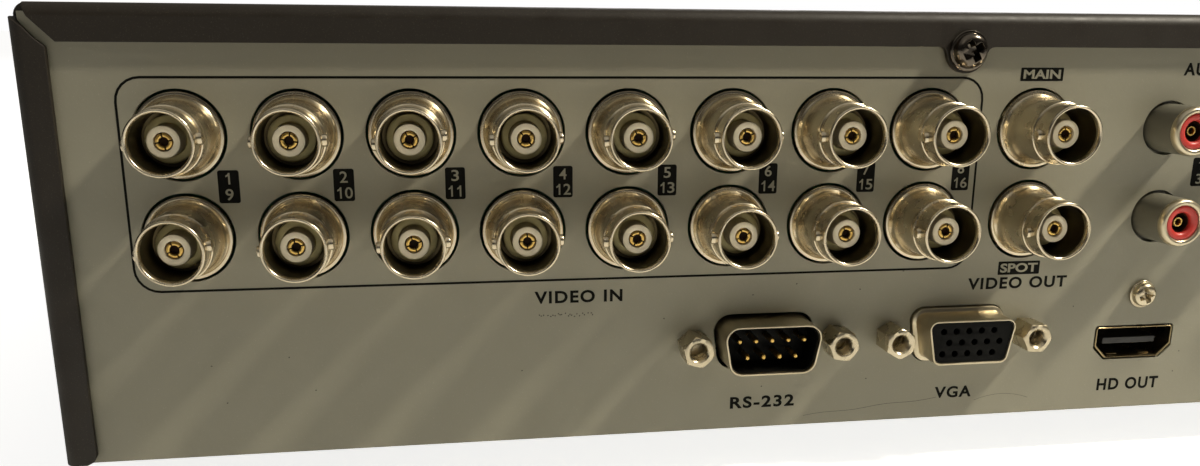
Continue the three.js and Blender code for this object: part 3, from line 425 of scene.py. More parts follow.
# %% Finish helpers
class Finish:
    """A material with its shader and the helpers that add variation to it."""

    def __init__(self, name, colour, roughness, metallic=0.0):
        self.material = bpy.data.materials.new(name)
        self.material.use_nodes = True
        self.tree = self.material.node_tree
        self.shader = self.tree.nodes["Principled BSDF"]
        self.place = self.tree.nodes.new("ShaderNodeTexCoord").outputs["Object"]
        self.colour = colour
        self.shader.inputs["Base Color"].default_value = (*colour, 1)
        self.shader.inputs["Roughness"].default_value = roughness
        self.shader.inputs["Metallic"].default_value = metallic

    def noise(self, size, detail=3.0, stretch=(1, 1, 1)):
        """Noise whose blobs are about `size` metres across."""
        mapping = self.tree.nodes.new("ShaderNodeMapping")
        mapping.inputs["Scale"].default_value = stretch
        texture = self.tree.nodes.new("ShaderNodeTexNoise")
        texture.inputs["Scale"].default_value = 1 / size
        texture.inputs["Detail"].default_value = detail
        self.tree.links.new(self.place, mapping.inputs["Vector"])
        self.tree.links.new(mapping.outputs["Vector"], texture.inputs["Vector"])
        return texture.outputs["Fac"]

    def ranged(self, value, low, high, start=0.35, end=0.65):
        """Maps the middle of a noise's range on to low..high."""
        ramp = self.tree.nodes.new("ShaderNodeMapRange")
        ramp.inputs["From Min"].default_value = start
        ramp.inputs["From Max"].default_value = end
        ramp.inputs["To Min"].default_value = low
        ramp.inputs["To Max"].default_value = high
        self.tree.links.new(value, ramp.inputs["Value"])
        return ramp.outputs["Result"]

    def clouded(self, other, value, low=0.0, high=1.0, start=0.35, end=0.65):
        """Mixes the colour so far with another by a varying amount."""
        mix = self.tree.nodes.new("ShaderNodeMix")
        mix.data_type = "RGBA"
        base = self.shader.inputs["Base Color"]
        if base.is_linked:
            self.tree.links.new(base.links[0].from_socket, mix.inputs[6])
        else:
            mix.inputs[6].default_value = base.default_value
        mix.inputs[7].default_value = (*other, 1)
        self.tree.links.new(self.ranged(value, low, high, start, end), mix.inputs[0])
        self.tree.links.new(mix.outputs[2], base)

    def dulled(self, value, low, high, start=0.35, end=0.65):
        """Varies the roughness."""
        self.tree.links.new(self.ranged(value, low, high, start, end), self.shader.inputs["Roughness"])

    def raised(self, value, height, strength=1.0):
        """Adds a bump of the given height in metres."""
        bump = self.tree.nodes.new("ShaderNodeBump")
        bump.inputs["Distance"].default_value = height
        bump.inputs["Strength"].default_value = strength
        normal = self.shader.inputs["Normal"]
        if normal.is_linked:
            self.tree.links.new(normal.links[0].from_socket, bump.inputs["Normal"])
        self.tree.links.new(value, bump.inputs["Height"])
        self.tree.links.new(bump.outputs["Normal"], normal)


# %% Paint, plating and plastic
def powder_paint(name, colour, cloud, speck, roughness, glint_speck_share):
    """Baked powder paint: a fine sandy skin, slight clouding and tiny lighter grains, which are partly the
    paint's own grain and partly painted glints.
    """
    paint = Finish(name, colour, roughness)
    paint.clouded(cloud, paint.noise(0.05), 0, 0.7)
    grain = paint.noise(0.00022, 1.0)
    # Painted highlight: the lighter specks stand in for glints on the paint as well as its grain.
    paint.clouded(speck, grain, 0, 0.8, 1 - glint_speck_share, 1.06 - glint_speck_share)
    paint.dulled(paint.noise(0.004, 4), roughness - 0.05, roughness + 0.07)
    paint.raised(paint.noise(0.0006, 2), 0.00003, 0.5)
    return paint.material


def plated(name, colour, roughness, tint, tint_size=0.006):
    """Bright plating: a mirror-like metal with faint wipe marks and slight tarnish."""
    metal = Finish(name, colour, roughness, 1.0)
    metal.clouded(tint, metal.noise(tint_size, 4), 0, 0.6)
    metal.dulled(metal.noise(0.003, 4), roughness * 0.85, roughness * 1.2)
    metal.raised(metal.noise(0.003, 2), 0.000006, 0.3)
    return metal.material


def moulded(name, colour, roughness, grain=0.0004, bump=0.00001, lift=0.6):
    """Moulded plastic: fine spark-eroded grain and slightly uneven gloss."""
    plastic = Finish(name, colour, roughness)
    lighter = tuple(channel * (1 + lift) + 0.002 for channel in colour)
    plastic.clouded(lighter, plastic.noise(0.012, 4), 0, 0.5)
    plastic.dulled(plastic.noise(0.003, 4), roughness - 0.06, roughness + 0.08)
    plastic.raised(plastic.noise(grain, 2), bump, 0.6)
    return plastic.material


def set_shader(material, title, value):
    material.node_tree.nodes["Principled BSDF"].inputs[title].default_value = value


# %% The recorder's finishes
PANEL_PAINT = powder_paint(
    "panel_paint", (0.277, 0.262, 0.196), (0.252, 0.238, 0.178), (0.33, 0.31, 0.24), 0.45, 0.30,
)
COVER_PAINT = powder_paint(
    "cover_paint", (0.018, 0.013, 0.008), (0.014, 0.0105, 0.0065), (0.042, 0.034, 0.023), 0.50, 0.36,
)
set_shader(COVER_PAINT, "Specular IOR Level", 0.35)
NICKEL = plated("socket_nickel", (0.66, 0.58, 0.43), 0.24, (0.58, 0.50, 0.355))
# Painted shade: this dark lining colour stands in for the shade on the bore wall inside each coaxial socket.
PAINTED_SHADE_LINING = plated("socket_lining_painted_shade", (0.115, 0.09, 0.047), 0.34, (0.085, 0.065, 0.033), 0.003)
TIN = plated("shell_tin", (0.60, 0.53, 0.385), 0.33, (0.50, 0.43, 0.29))
ZINC = plated("bright_zinc", (0.58, 0.51, 0.37), 0.27, (0.48, 0.41, 0.28), 0.003)
MOUTH_METAL = plated("port_mouth", (0.34, 0.27, 0.15), 0.30, (0.24, 0.18, 0.09), 0.002)
BLACK_CHROME = plated("black_chrome", (0.17, 0.145, 0.115), 0.18, (0.11, 0.093, 0.075), 0.003)
GOLD = plated("contact_gold", (0.74, 0.50, 0.15), 0.28, (0.50, 0.31, 0.08), 0.001)
BRASS = plated("dull_brass", (0.80, 0.70, 0.36), 0.48, (0.64, 0.55, 0.26), 0.002)
set_shader(BRASS, "Metallic", 0.45)
SOCKET_WHITE = moulded("socket_white", (0.88, 0.785, 0.58), 0.42, lift=0.05)
CONTACT_BLACK = moulded("contact_black", (0.003, 0.003, 0.0025), 0.45, lift=0.1)
# Painted shade: this brown-black fills the holes inside the coaxial contacts and the phono jacks, where there
# is only shade.
PAINTED_SHADE_BORE = moulded("bore_painted_shade", (0.022, 0.010, 0.004), 0.50, lift=0.1)
BLACK_PLASTIC = moulded("black_plastic", (0.014, 0.014, 0.014), 0.42)
for dark in (CONTACT_BLACK, PAINTED_SHADE_BORE):
    set_shader(dark, "Specular IOR Level", 0.1)
AUDIO_GREY = moulded("audio_plastic", (0.118, 0.111, 0.082), 0.42, lift=0.3)
AUDIO_RED = moulded("audio_red", (0.50, 0.040, 0.030), 0.36, lift=0.15)
AUDIO_WHITE = moulded("audio_white", (0.70, 0.68, 0.62), 0.33, lift=0.1)
TERMINAL_GREEN = moulded("terminal_green", (0.035, 0.22, 0.085), 0.38, lift=0.3)
BEZEL_BLACK = moulded("bezel_black", (0.018, 0.018, 0.019), 0.36, 0.0006, 0.00002)
SILVER_PLASTIC = moulded("silver_plastic", (0.34, 0.34, 0.35), 0.30, lift=0.15)
RUBBER = moulded("foot_rubber", (0.020, 0.020, 0.020), 0.75, 0.0008, 0.00004)
print("finishes:", len(bpy.data.materials))

# %% [markdown]
# ## The connector panel
#
# The rear panel is a 1 mm sheet punched for every socket, with the fan's guard and a row of vents. It is
# drawn as one flat outline with its holes and filled as a sheet, which keeps the rims of the holes truly
# round. The tray behind it is folded from the same sheet. Its visible parts are the underside, the side
# lips and the front wall.

# %% Places and sizes on the panel
SHEET = 1.0
EDGE_EASE = 0.12
SOCKET_NODES = [f"video_in_{k:02d}" for k in range(1, 17)] + ["video_out_main", "video_out_spot"]
SOCKET_PLACES = [tuple(middle(node).xy) for node in SOCKET_NODES]
SOCKET_HOLE = 6.86
PHONO_HOLE = 4.67
PHONO_PITCH = 17.0
jacks_low, jacks_high = board_box("audio_jacks")
PHONO_MARGIN = 7.2
PHONO_COLUMNS = [jacks_low.x + PHONO_MARGIN + k * PHONO_PITCH for k in range(3)]
PHONO_ROWS = [SOCKET_PLACES[0][1], SOCKET_PLACES[8][1]]
PHONO_PLACES = [(u, v) for v in PHONO_ROWS for u in PHONO_COLUMNS]
JACK_NODES = [f"{port}_jackscrew_{side}" for port in ("serial", "vga") for side in ("left", "right")]
JACK_PLACES = [tuple(middle(node).xy) for node in JACK_NODES]
COVER_SCREW_PLACES = [tuple(middle(f"cover_screw_{k}").xy) for k in (1, 2)]
SERIAL_SIZE, VGA_SIZE = (17.4, 8.5), (16.2, 7.9)
D_CORNER, MONITOR_CORNER = 2.4, 1.5
D_GAP, COLLAR_GAP = 0.62, 1.05
serial_at, vga_at = middle("serial_shell"), middle("vga_shell")
digital_at, digital_screw_at = middle("digital_port"), middle("digital_screw")
usb_at, lan_at = middle("usb_rear"), middle("lan_jack")
terminal_at, inlet_at = middle("terminal_header"), middle("power_inlet")
ground_at, fan_at = middle("ground_screw"), middle("fan_frame")
FAN_BORE = 18.6
VENT_FIRST_U, VENT_PITCH, VENT_COUNT = 246.0, 5.4, 11
VENT_SIZE, VENT_V = (2.6, 16.0), -24.0
GUARD_SLOTS, GUARD_PITCH, GUARD_WIDTH = 7, 5.0, 3.2
PORT_GAP = 0.35
TERMINAL_WAYS, TERMINAL_STEP = 10, 3.81
MOUTH_SIZE = (15.0, 5.8)
MOUTH_CUT = 2.2
MOUTH_WALL = 0.24
MOUTH_BACK = -10.8


# %% Outlines of the openings
def mouth_outline(shrink, radius):
    a, b, cut_by = MOUTH_SIZE[0] / 2 - shrink, MOUTH_SIZE[1] / 2 - shrink, MOUTH_CUT
    u, v = digital_at.x, digital_at.y
    corners = [
        (u - a + cut_by, v - b), (u + a - cut_by, v - b), (u + a, v - b + cut_by),
        (u + a, v + b), (u - a, v + b), (u - a, v - b + cut_by),
    ]
    return rounded(corners, radius, 4)


def port_hole(node):
    low, high = board_box(node)
    width, height = high.x - low.x + 2 * PORT_GAP, high.y - low.y + 2 * PORT_GAP
    at = (low + high) / 2
    return rounded(rectangle(at.x, at.y, width, height), 0.5, 4)


def guard_holes():
    reach = FAN_BORE - GUARD_WIDTH / 2
    holes = []
    for k in range(GUARD_SLOTS):
        offset = (k - (GUARD_SLOTS - 1) / 2) * GUARD_PITCH
        length = 2 * math.sqrt(reach ** 2 - offset ** 2)
        holes.append(slot_outline(fan_at.x + offset, fan_at.y, GUARD_WIDTH, length))
    return holes


# %% Punched rear panel
INLET_BODY = (45.7, 24.7)
panel_outline = rectangle(
    CASE_WIDTH / 2, (-CASE_HEIGHT - 1.3) / 2, CASE_WIDTH - 2.6, CASE_HEIGHT - 1.3,
)
panel_holes = [circle(u, v, SOCKET_HOLE) for u, v in SOCKET_PLACES]
panel_holes += [circle(u, v, PHONO_HOLE) for u, v in PHONO_PLACES]
panel_holes += [circle(u, v, 1.6, 24) for u, v in JACK_PLACES]
panel_holes += [d_outline(serial_at.x, serial_at.y, *SERIAL_SIZE, D_CORNER, D_GAP)]
panel_holes += [d_outline(vga_at.x, vga_at.y, *VGA_SIZE, MONITOR_CORNER, COLLAR_GAP)]
panel_holes += [port_hole(node) for node in ("usb_rear", "lan_jack", "terminal_header")]
panel_holes += [mouth_outline(-0.3, 0.6)]
panel_holes += [rounded(rectangle(inlet_at.x, inlet_at.y, *INLET_BODY), 0.5, 4)]
panel_holes += guard_holes()
panel_holes += [
    slot_outline(VENT_FIRST_U + k * VENT_PITCH, VENT_V, *VENT_SIZE) for k in range(VENT_COUNT)
]
rear_sheet = punched(panel_outline, panel_holes, -SHEET, 0)
piece("rear_panel", rear_sheet, PANEL_PAINT, ["chassis_pan"])

# %% Folded tray
TRAY_SIDE = 1.3
LIP_HEIGHT = 14.0
FRONT_WALL_TOP = -30
tray_right = CASE_WIDTH - TRAY_SIDE
tray_parts = [
    slab((TRAY_SIDE, -CASE_HEIGHT, -CASE_DEPTH), (tray_right, SHEET - CASE_HEIGHT, -SHEET)),
    slab((TRAY_SIDE, SHEET - CASE_HEIGHT, -CASE_DEPTH), (tray_right, FRONT_WALL_TOP, SHEET - CASE_DEPTH)),
]
for u in (TRAY_SIDE, tray_right - SHEET):
    top = LIP_HEIGHT - CASE_HEIGHT
    tray_parts.append(slab((u, SHEET - CASE_HEIGHT, SHEET - CASE_DEPTH), (u + SHEET, top, -SHEET)))
piece(
    "base_tray", eased(together(*tray_parts), EDGE_EASE), PANEL_PAINT, ["chassis_pan"],
)

# %% [markdown]
# ## The folded cover
#
# The cover is one sheet: top, two sides, and rear flanges lapped over the panel. Every bend has an outer
# radius of 2 mm. At the rear corners the top and side flanges meet on a diagonal with a gap, and a small
# relief notch keeps the sheet from tearing. The outer skin is drawn as strips that share their edges, and
# Solidify then gives the sheet its thickness inwards, so the bends come out round inside and outside.

# %% Cover skin
BEND = 2.0
BEND_STEPS = 8
FLANGE_FACE = 1.3
TOP_FLANGE = 5.5
SIDE_FLANGE = 4.9
RELIEF = 1.5
MITRE_TOP = (2.9, 6.3)
MITRE_SIDE = (3.3, 6.2)
TAB_RADIUS = 3.6
TAB_V = COVER_SCREW_PLACES[0][1]


def bend_arc():
    """(inward, outward) offsets of a quarter bend from the flat sheet to the flange face."""
    turns = [math.pi / 2 * k / BEND_STEPS for k in range(BEND_STEPS + 1)]
    return [(BEND * (1 - math.cos(t)), BEND * math.sin(t)) for t in turns]


def grid(lines):
    """Faces between polylines that all have the same number of points."""
    count = len(lines[0])
    points = [point for line in lines for point in line]
    faces = [
        [s * count + k, s * count + k + 1, (s + 1) * count + k + 1, (s + 1) * count + k]
        for s in range(len(lines) - 1) for k in range(count - 1)
    ]
    return mesh_of(points, faces)


def tab_points(u):
    """The round tab below the top flange, with a hollow where it leaves the flange."""
    turns = [math.radians(186 + 168 * k / 16) for k in range(17)]
    low = [(u + TAB_RADIUS * math.cos(t), TAB_V + TAB_RADIUS * math.sin(t)) for t in turns]
    root = [(4.9, -TOP_FLANGE), (4.3, -TOP_FLANGE - 0.1), (3.86, -TOP_FLANGE - 0.42)]
    return [(u - a, v) for a, v in root] + low + [(u + a, v) for a, v in root[::-1]]


# %% The skin in strips
def cover_skin():
    w_bend = FLANGE_FACE - BEND
    w_relief = w_bend - RELIEF
    corner = [(BEND - out, -inward) for inward, out in bend_arc()][::-1]
    left = [(0, -CASE_HEIGHT)] + corner
    section = left + [(CASE_WIDTH - u, v) for u, v in left[::-1]]
    wrap = grid([[(u, v, w) for u, v in section] for w in (-CASE_DEPTH, w_relief)])
    strips = [wrap]
    rows = []
    for w in (w_relief, w_bend):
        rows.append([(BEND, 0, w), (CASE_WIDTH - BEND, 0, w)])
    for inward, out in bend_arc()[1:]:
        lean = BEND + (MITRE_TOP[0] - BEND) * inward / BEND
        rows.append([(lean, -inward, w_bend + out), (CASE_WIDTH - lean, -inward, w_bend + out)])
    strips.append(grid(rows))
    lower = [(MITRE_TOP[1], -TOP_FLANGE)]
    for u, _ in COVER_SCREW_PLACES:
        lower += tab_points(u)
    lower.append((CASE_WIDTH - MITRE_TOP[1], -TOP_FLANGE))
    flange = [(MITRE_TOP[0], -BEND)] + lower + [(CASE_WIDTH - MITRE_TOP[0], -BEND)]
    strips.append(mesh_of([(u, v, FLANGE_FACE) for u, v in flange], [range(len(flange))]))
    for mirror in (False, True):
        side = []
        for w in (w_relief, w_bend):
            side.append([(0, -CASE_HEIGHT, w), (0, -BEND, w)])
        for inward, out in bend_arc()[1:]:
            lean = -BEND - (MITRE_SIDE[0] - BEND) * inward / BEND
            side.append([(inward, -CASE_HEIGHT, w_bend + out), (inward, lean, w_bend + out)])
        for back, low, high in ((1.5, 0, -4.9), (0.5, 0.5, -5.8), (0, 1.5, -MITRE_SIDE[1])):
            u = SIDE_FLANGE - back
            side.append([(u, low - CASE_HEIGHT, FLANGE_FACE), (u, high, FLANGE_FACE)])
        if mirror:
            side = [[(CASE_WIDTH - u, v, w) for u, v, w in row] for row in side]
        strips.append(grid(side))
    return together(*strips)


# %% From skin to sheet
def outward_skin(mesh):
    """Turns the open skin's faces away from the inside of the case."""
    welded(mesh)
    inside = Vector((CASE_WIDTH / 2, -CASE_HEIGHT / 2, -CASE_DEPTH / 2))
    face = max(mesh.polygons, key=lambda polygon: polygon.area)
    if (face.center - inside).dot(face.normal) < 0:
        mesh.flip_normals()
    return mesh


def folded_sheet(skin, thickness):
    draft = bpy.data.objects.new("cover", outward_skin(skin))
    wall = draft.modifiers.new("thickness", "SOLIDIFY")
    wall.thickness = thickness
    wall.offset = -1
    return applied(draft)


# %% Side vents, cut through the cover
SIDE_VENTS, SIDE_VENT_PITCH, SIDE_VENT_START = 12, 9.0, -150.0
SIDE_VENT_SIZE = (3.0, 26.0)


def vent_row_tree():
    """A row of upright slot cutters along the case, as wide as the case."""
    tree = bpy.data.node_groups.new("vent_row", "GeometryNodeTree")
    for title, kind in (
        ("Slots", "Int"), ("Pitch", "Float"), ("Slot width", "Float"), ("Slot height", "Float"),
    ):
        tree.interface.new_socket(title, in_out="INPUT", socket_type=f"NodeSocket{kind}")
    tree.interface.new_socket("Cutters", in_out="OUTPUT", socket_type="NodeSocketGeometry")
    entry, exit_node = tree.nodes.new("NodeGroupInput"), tree.nodes.new("NodeGroupOutput")
    step, size = tree.nodes.new("ShaderNodeCombineXYZ"), tree.nodes.new("ShaderNodeCombineXYZ")
    row = tree.nodes.new("GeometryNodeMeshLine")
    bar = tree.nodes.new("GeometryNodeMeshCube")
    copies = tree.nodes.new("GeometryNodeInstanceOnPoints")
    real = tree.nodes.new("GeometryNodeRealizeInstances")
    dress = tree.nodes.new("GeometryNodeSetMaterial")
    dress.inputs["Material"].default_value = COVER_PAINT
    size.inputs["X"].default_value = CASE_WIDTH + 10
    wired(
        tree, (entry, "Slots", row, "Count"), (entry, "Pitch", step, "Z"),
        (step, "Vector", row, "Offset"), (entry, "Slot height", size, "Y"),
        (entry, "Slot width", size, "Z"), (size, "Vector", bar, "Size"), (row, "Mesh", copies, "Points"),
        (bar, "Mesh", copies, "Instance"), (copies, "Instances", real, "Geometry"),
        (real, "Geometry", dress, "Geometry"), (dress, "Geometry", exit_node, "Cutters"),
    )
    return tree


# %% The cover with its vents
def side_vent_cutters():
    holder = bpy.data.objects.new("vents", mesh_of([], []))
    modifier = holder.modifiers.new("row", "NODES")
    modifier.node_group = vent_row_tree()
    set_input(modifier, "Slots", SIDE_VENTS)
    set_input(modifier, "Pitch", -SIDE_VENT_PITCH)
    set_input(modifier, "Slot width", SIDE_VENT_SIZE[0])
    set_input(modifier, "Slot height", SIDE_VENT_SIZE[1])
    mesh = applied(holder)
    start = SIDE_VENT_START + SIDE_VENT_SIZE[0] / 2
    mesh.transform(Matrix.Translation((CASE_WIDTH / 2, -CASE_HEIGHT / 2, start)))
    return eased(mesh, SIDE_VENT_SIZE[0] * 0.45, 4)


cover_sheet = carved(folded_sheet(cover_skin(), SHEET), side_vent_cutters())
piece(
    "cover_sheet", eased(cover_sheet, EDGE_EASE), COVER_PAINT, ["top_cover"], crease=50,
)

# %% [markdown]
# ## Coaxial sockets
#
# A bayonet socket is a turned metal shell with a dished flange, a thin rim and two small lugs that a plug's
# collar hooks on. Inside stand a white insulator, a gilt contact split into four springs and a brass seat
# round the insulator's foot. The dark lining on the bore and the dark core under the springs are painted
# shade. One of each is drawn and set on the eighteen places. Turning a profile gives true circles, and each
# bead and groove is one more point in it.

# %% Socket shell with its lugs
SHELL_PROFILE = [
    (2.25, -1.2), (6.45, -1.2), (6.45, 0.14), (6.38, 0.34), (6.22, 0.4), (5.98, 0.4), (5.9, 0.3),
    (5.8, 0.42), (5.6, 0.62), (5.4, 0.98), (5.27, 1.45), (5.19, 2.1), (5.15, 3.0), (5.05, 6.9),
    (4.98, 7.1), (5.09, 7.3), (5.12, 7.6), (5.06, 7.9), (4.88, 8.02), (4.8, 8.25), (4.8, 11.4),
    (4.79, 11.6), (4.73, 11.75), (4.63, 11.83), (4.52, 11.85), (4.41, 11.82), (4.31, 11.73), (4.24, 11.6),
    (4.2, 11.4), (4.18, 11.0), (4.12, 4.0), (2.25, 3.6),
]
LUG_PROFILE = [(0, 4.4), (0.92, 4.4), (0.92, 5.2), (0.84, 5.38), (0.62, 5.47), (0, 5.5)]
LUG_FRONT = 9.4
LUG_LEAN = 0.14


def socket_shell():
    parts = [turned(SHELL_PROFILE)]
    for side in (-1, 1):
        lug = turned(LUG_PROFILE, 20)
        lug.transform(Matrix.Rotation(side * math.pi / 2, 4, "Y"))
        lug.transform(Matrix.Translation((0, 0, LUG_FRONT)))
        parts.append(lug)
    return together(*parts)


flat_places = [(u, v, 0) for u, v in SOCKET_PLACES]
shells = repeated(socket_shell(), flat_places, NICKEL, LUG_LEAN, 4)
piece("socket_shells", shells, NICKEL, SOCKET_NODES, crease=32)

# %% Insulators and split contacts
INSULATOR_PROFILE = [
    (1.34, 3.3), (2.3, 3.3), (2.3, 8.98), (2.23, 9.13), (2.08, 9.2), (1.46, 9.2), (1.37, 9.15), (1.34, 9.05),
]
CONTACT_OUTER, CONTACT_INNER, CONTACT_FRONT = 1.2, 0.66, 9.0
CONTACT_SLIT = 0.22
PAINTED_SHADE_CORE_PROFILE = [(0, 3.4), (1.33, 3.4), (1.33, 8.1), (0, 8.1)]


def contact_spring(quarter):
    """One of the four springs of a split contact, with its tip rolled inwards."""
    def arc(radius):
        half = math.pi / 4 - math.asin(CONTACT_SLIT / 2 / radius)
        turns = [quarter * math.pi / 2 + half * (2 * k / 6 - 1) for k in range(7)]
        return [(radius * math.cos(t), radius * math.sin(t)) for t in turns]
    sections = []
    for outer, inner, w in (
        (CONTACT_OUTER, CONTACT_INNER, 7.9), (CONTACT_OUTER, CONTACT_INNER, 8.8),
        (CONTACT_OUTER - 0.06, CONTACT_INNER + 0.03, 8.95),
        (CONTACT_OUTER - 0.17, CONTACT_INNER + 0.14, CONTACT_FRONT),
    ):
        sections.append((arc(outer) + arc(inner)[::-1], w))
    return lofted(sections, capped=True)


SEAT_PROFILE = [(2.33, 3.7), (3.44, 3.7), (3.46, 5.62), (3.4, 5.74), (3.26, 5.8), (2.46, 5.8), (2.33, 5.68)]
turned_set("socket_seats", SEAT_PROFILE, 48, flat_places, BRASS)
# Painted shade: a dark lining on the bore wall, where the inside of the socket lies in shade.
PAINTED_SHADE_LINING_PROFILE = [(3.3, 4.02), (4.23, 4.06), (4.23, 10.6), (4.19, 10.9), (4.15, 10.6), (4.1, 4.3), (3.3, 4.2)]
turned_set("socket_linings", PAINTED_SHADE_LINING_PROFILE, ROUND_STEPS, flat_places, PAINTED_SHADE_LINING)
turned_set("socket_insulators", INSULATOR_PROFILE, 48, flat_places, SOCKET_WHITE)
springs = together(*[contact_spring(quarter) for quarter in range(4)])
contacts = repeated(springs, flat_places, GOLD, math.pi / 2, 11)
piece("socket_contacts", contacts, GOLD)
# Painted shade: a dark core fills the contact's hole under the springs, where the hole is in shade.
turned_set("socket_cores", PAINTED_SHADE_CORE_PROFILE, 24, flat_places, PAINTED_SHADE_BORE)

# %% [markdown]
# ## Audio jacks
#
# Each phono jack is a plastic barrel through the panel, closed by a bevelled metal ring with a coloured
# insert, with a gilt tube in its bore; the dark cup in the bore is painted shade. The six barrels belong to
# one moulded block behind the panel. The colours follow the usual code.

# %% Phono barrels, rings and inserts
BARREL_PROFILE = [(3.0, -1.4), (4.13, -1.4), (4.15, 6.05), (4.06, 6.18), (3.0, 6.18)]
RING_PROFILE = [
    (2.98, 6.2), (4.12, 6.2), (4.15, 6.3), (4.14, 6.62), (3.98, 7.08), (3.8, 7.32), (3.6, 7.4), (3.3, 7.38),
    (3.1, 7.25), (3.0, 7.05),
]
INSERT_PROFILE = [
    (1.72, 0.4), (2.97, 0.4), (2.97, 6.86), (2.9, 7.0), (2.72, 7.06), (2.3, 7.04), (1.98, 6.92), (1.79, 6.66),
    (1.72, 6.3),
]
TUBE_PROFILE = [(0.5, 4.4), (0.85, 4.4), (0.85, 5.7), (0.78, 5.85), (0.58, 5.85), (0.5, 5.7)]
jack_places = [(u, v, 0) for u, v in PHONO_PLACES]
outputs = [place for place in jack_places if abs(place[0] - PHONO_COLUMNS[2]) < 1]
inputs = [place for place in jack_places if place not in outputs]
block_low = (jacks_low.x, jacks_low.y, jacks_low.z)
jack_block = eased(slab(block_low, (jacks_high.x, jacks_high.y, -1.3)), 0.3)
barrels = repeated(turned(BARREL_PROFILE, 56), jack_places, AUDIO_GREY)
piece("jack_barrels", together(barrels, jack_block), AUDIO_GREY, ["audio_jacks"])
turned_set("jack_rings", RING_PROFILE, 56, jack_places, TIN)
turned_set("jack_inserts_red", INSERT_PROFILE, 48, inputs, AUDIO_RED)
turned_set("jack_inserts_white", INSERT_PROFILE, 48, outputs, AUDIO_WHITE)
turned_set("jack_contacts", TUBE_PROFILE, 32, jack_places, GOLD)
# Painted shade: a dark cup fills each jack's hole, where the inside of the hole is in shade.
PAINTED_SHADE_BORE_PROFILE = [(0, 0.2), (1.71, 0.2), (1.71, 6.05), (1.6, 6.15), (1.52, 6.05), (1.52, 4.5), (0, 4.5)]
turned_set("jack_cores", PAINTED_SHADE_BORE_PROFILE, 32, jack_places, PAINTED_SHADE_BORE)

# %% [markdown]
# ## D-shaped sockets
#
# The serial and monitor sockets are drawn steel shells that flare where they leave the flange and have a
# slightly rolled lip. The same outline at several distances from its own edge, joined into walls, gives
# that shape. The serial insert is deep and carries nine pins; the monitor insert is flush and has fifteen
# holes in three rows.

# %% Shells
SHELL_ROOT = [(0.1, -1.2), (0.06, 0.2), (0.0, 0.6)]
COLLAR_ROOT = [(0.85, -1.2), (0.85, 0.35), (0.78, 0.55), (0.6, 0.66), (0.3, 0.68), (0.1, 0.8), (0.0, 1.1)]
SHELL_LIP = [(0.0, 5.8), (-0.06, 5.96), (-0.18, 6.0), (-0.3, 5.98), (-0.38, 5.86), (-0.4, 5.5), (-0.4, -1.2)]


def d_shell(at, size, corner, root):
    return lofted([(d_outline(at.x, at.y, *size, corner, grow), w) for grow, w in root + SHELL_LIP])


serial_shell = d_shell(serial_at, SERIAL_SIZE, D_CORNER, SHELL_ROOT)
monitor_shell = d_shell(vga_at, VGA_SIZE, MONITOR_CORNER, COLLAR_ROOT)
piece("serial_socket_shell", serial_shell, TIN, ["serial_shell"])
piece("monitor_socket_shell", monitor_shell, TIN, ["vga_shell"])

# %% Inserts and pins
PIN_PROFILE = [(0, -1.0), (0.5, -1.0), (0.5, 4.45), (0.43, 4.75), (0.27, 4.95), (0, 5.0)]
INSERT_INSIDE = -0.45
SERIAL_FLOOR = 0.5
MONITOR_FACE = 5.7
MONITOR_HOLE = 0.56
PIN_PITCH, PIN_ROW = 2.77, 1.42
HOLE_PITCH, HOLE_ROW = 2.29, 1.98
monitor_inside = d_outline(vga_at.x, vga_at.y, *VGA_SIZE, MONITOR_CORNER, INSERT_INSIDE)
serial_cup = lofted([
    (d_outline(serial_at.x, serial_at.y, *SERIAL_SIZE, D_CORNER, grow), w)
    for grow, w in ((INSERT_INSIDE, -1.2), (INSERT_INSIDE, 5.3), (-0.62, 5.3), (-0.7, SERIAL_FLOOR))
], capped=True)
pin_places = [(serial_at.x + (k - 2) * PIN_PITCH, serial_at.y + PIN_ROW, 0) for k in range(5)]
pin_places += [(serial_at.x + (k - 1.5) * PIN_PITCH, serial_at.y - PIN_ROW, 0) for k in range(4)]
hole_places = [
    (vga_at.x + (k + shift) * HOLE_PITCH, vga_at.y + row * HOLE_ROW)
    for shift, row in ((-0.25, 1), (0.25, 0), (-0.25, -1)) for k in range(-2, 3)
]
monitor_face = punched(
    monitor_inside, [circle(u, v, MONITOR_HOLE, 20) for u, v in hole_places], 2.1, MONITOR_FACE,
)
monitor_insert = together(eased(monitor_face, 0.1), prism(monitor_inside, -1.2, 2.0))
piece("serial_cup", serial_cup, CONTACT_BLACK, ["serial_insert"])
turned_set("serial_pins", PIN_PROFILE, 20, pin_places, GOLD)
piece("monitor_face", monitor_insert, CONTACT_BLACK, ["vga_insert"])

# %% Hexagon jackscrews
JACK_FLATS = 4.75
JACK_FRONT = 5.5
THREAD_STEP = 0.4


def hexagon_ring(flats, limit, steps=48):
    """A hexagon's outline cut off by a circle, as a turned chamfer leaves it."""
    points = []
    for k in range(steps):
        turn = 2 * math.pi * k / steps
        slant = (turn + math.pi / 6) % (math.pi / 3) - math.pi / 6
        reach = min(flats / 2 / math.cos(slant), limit)
        points.append((reach * math.cos(turn), reach * math.sin(turn)))
    return points


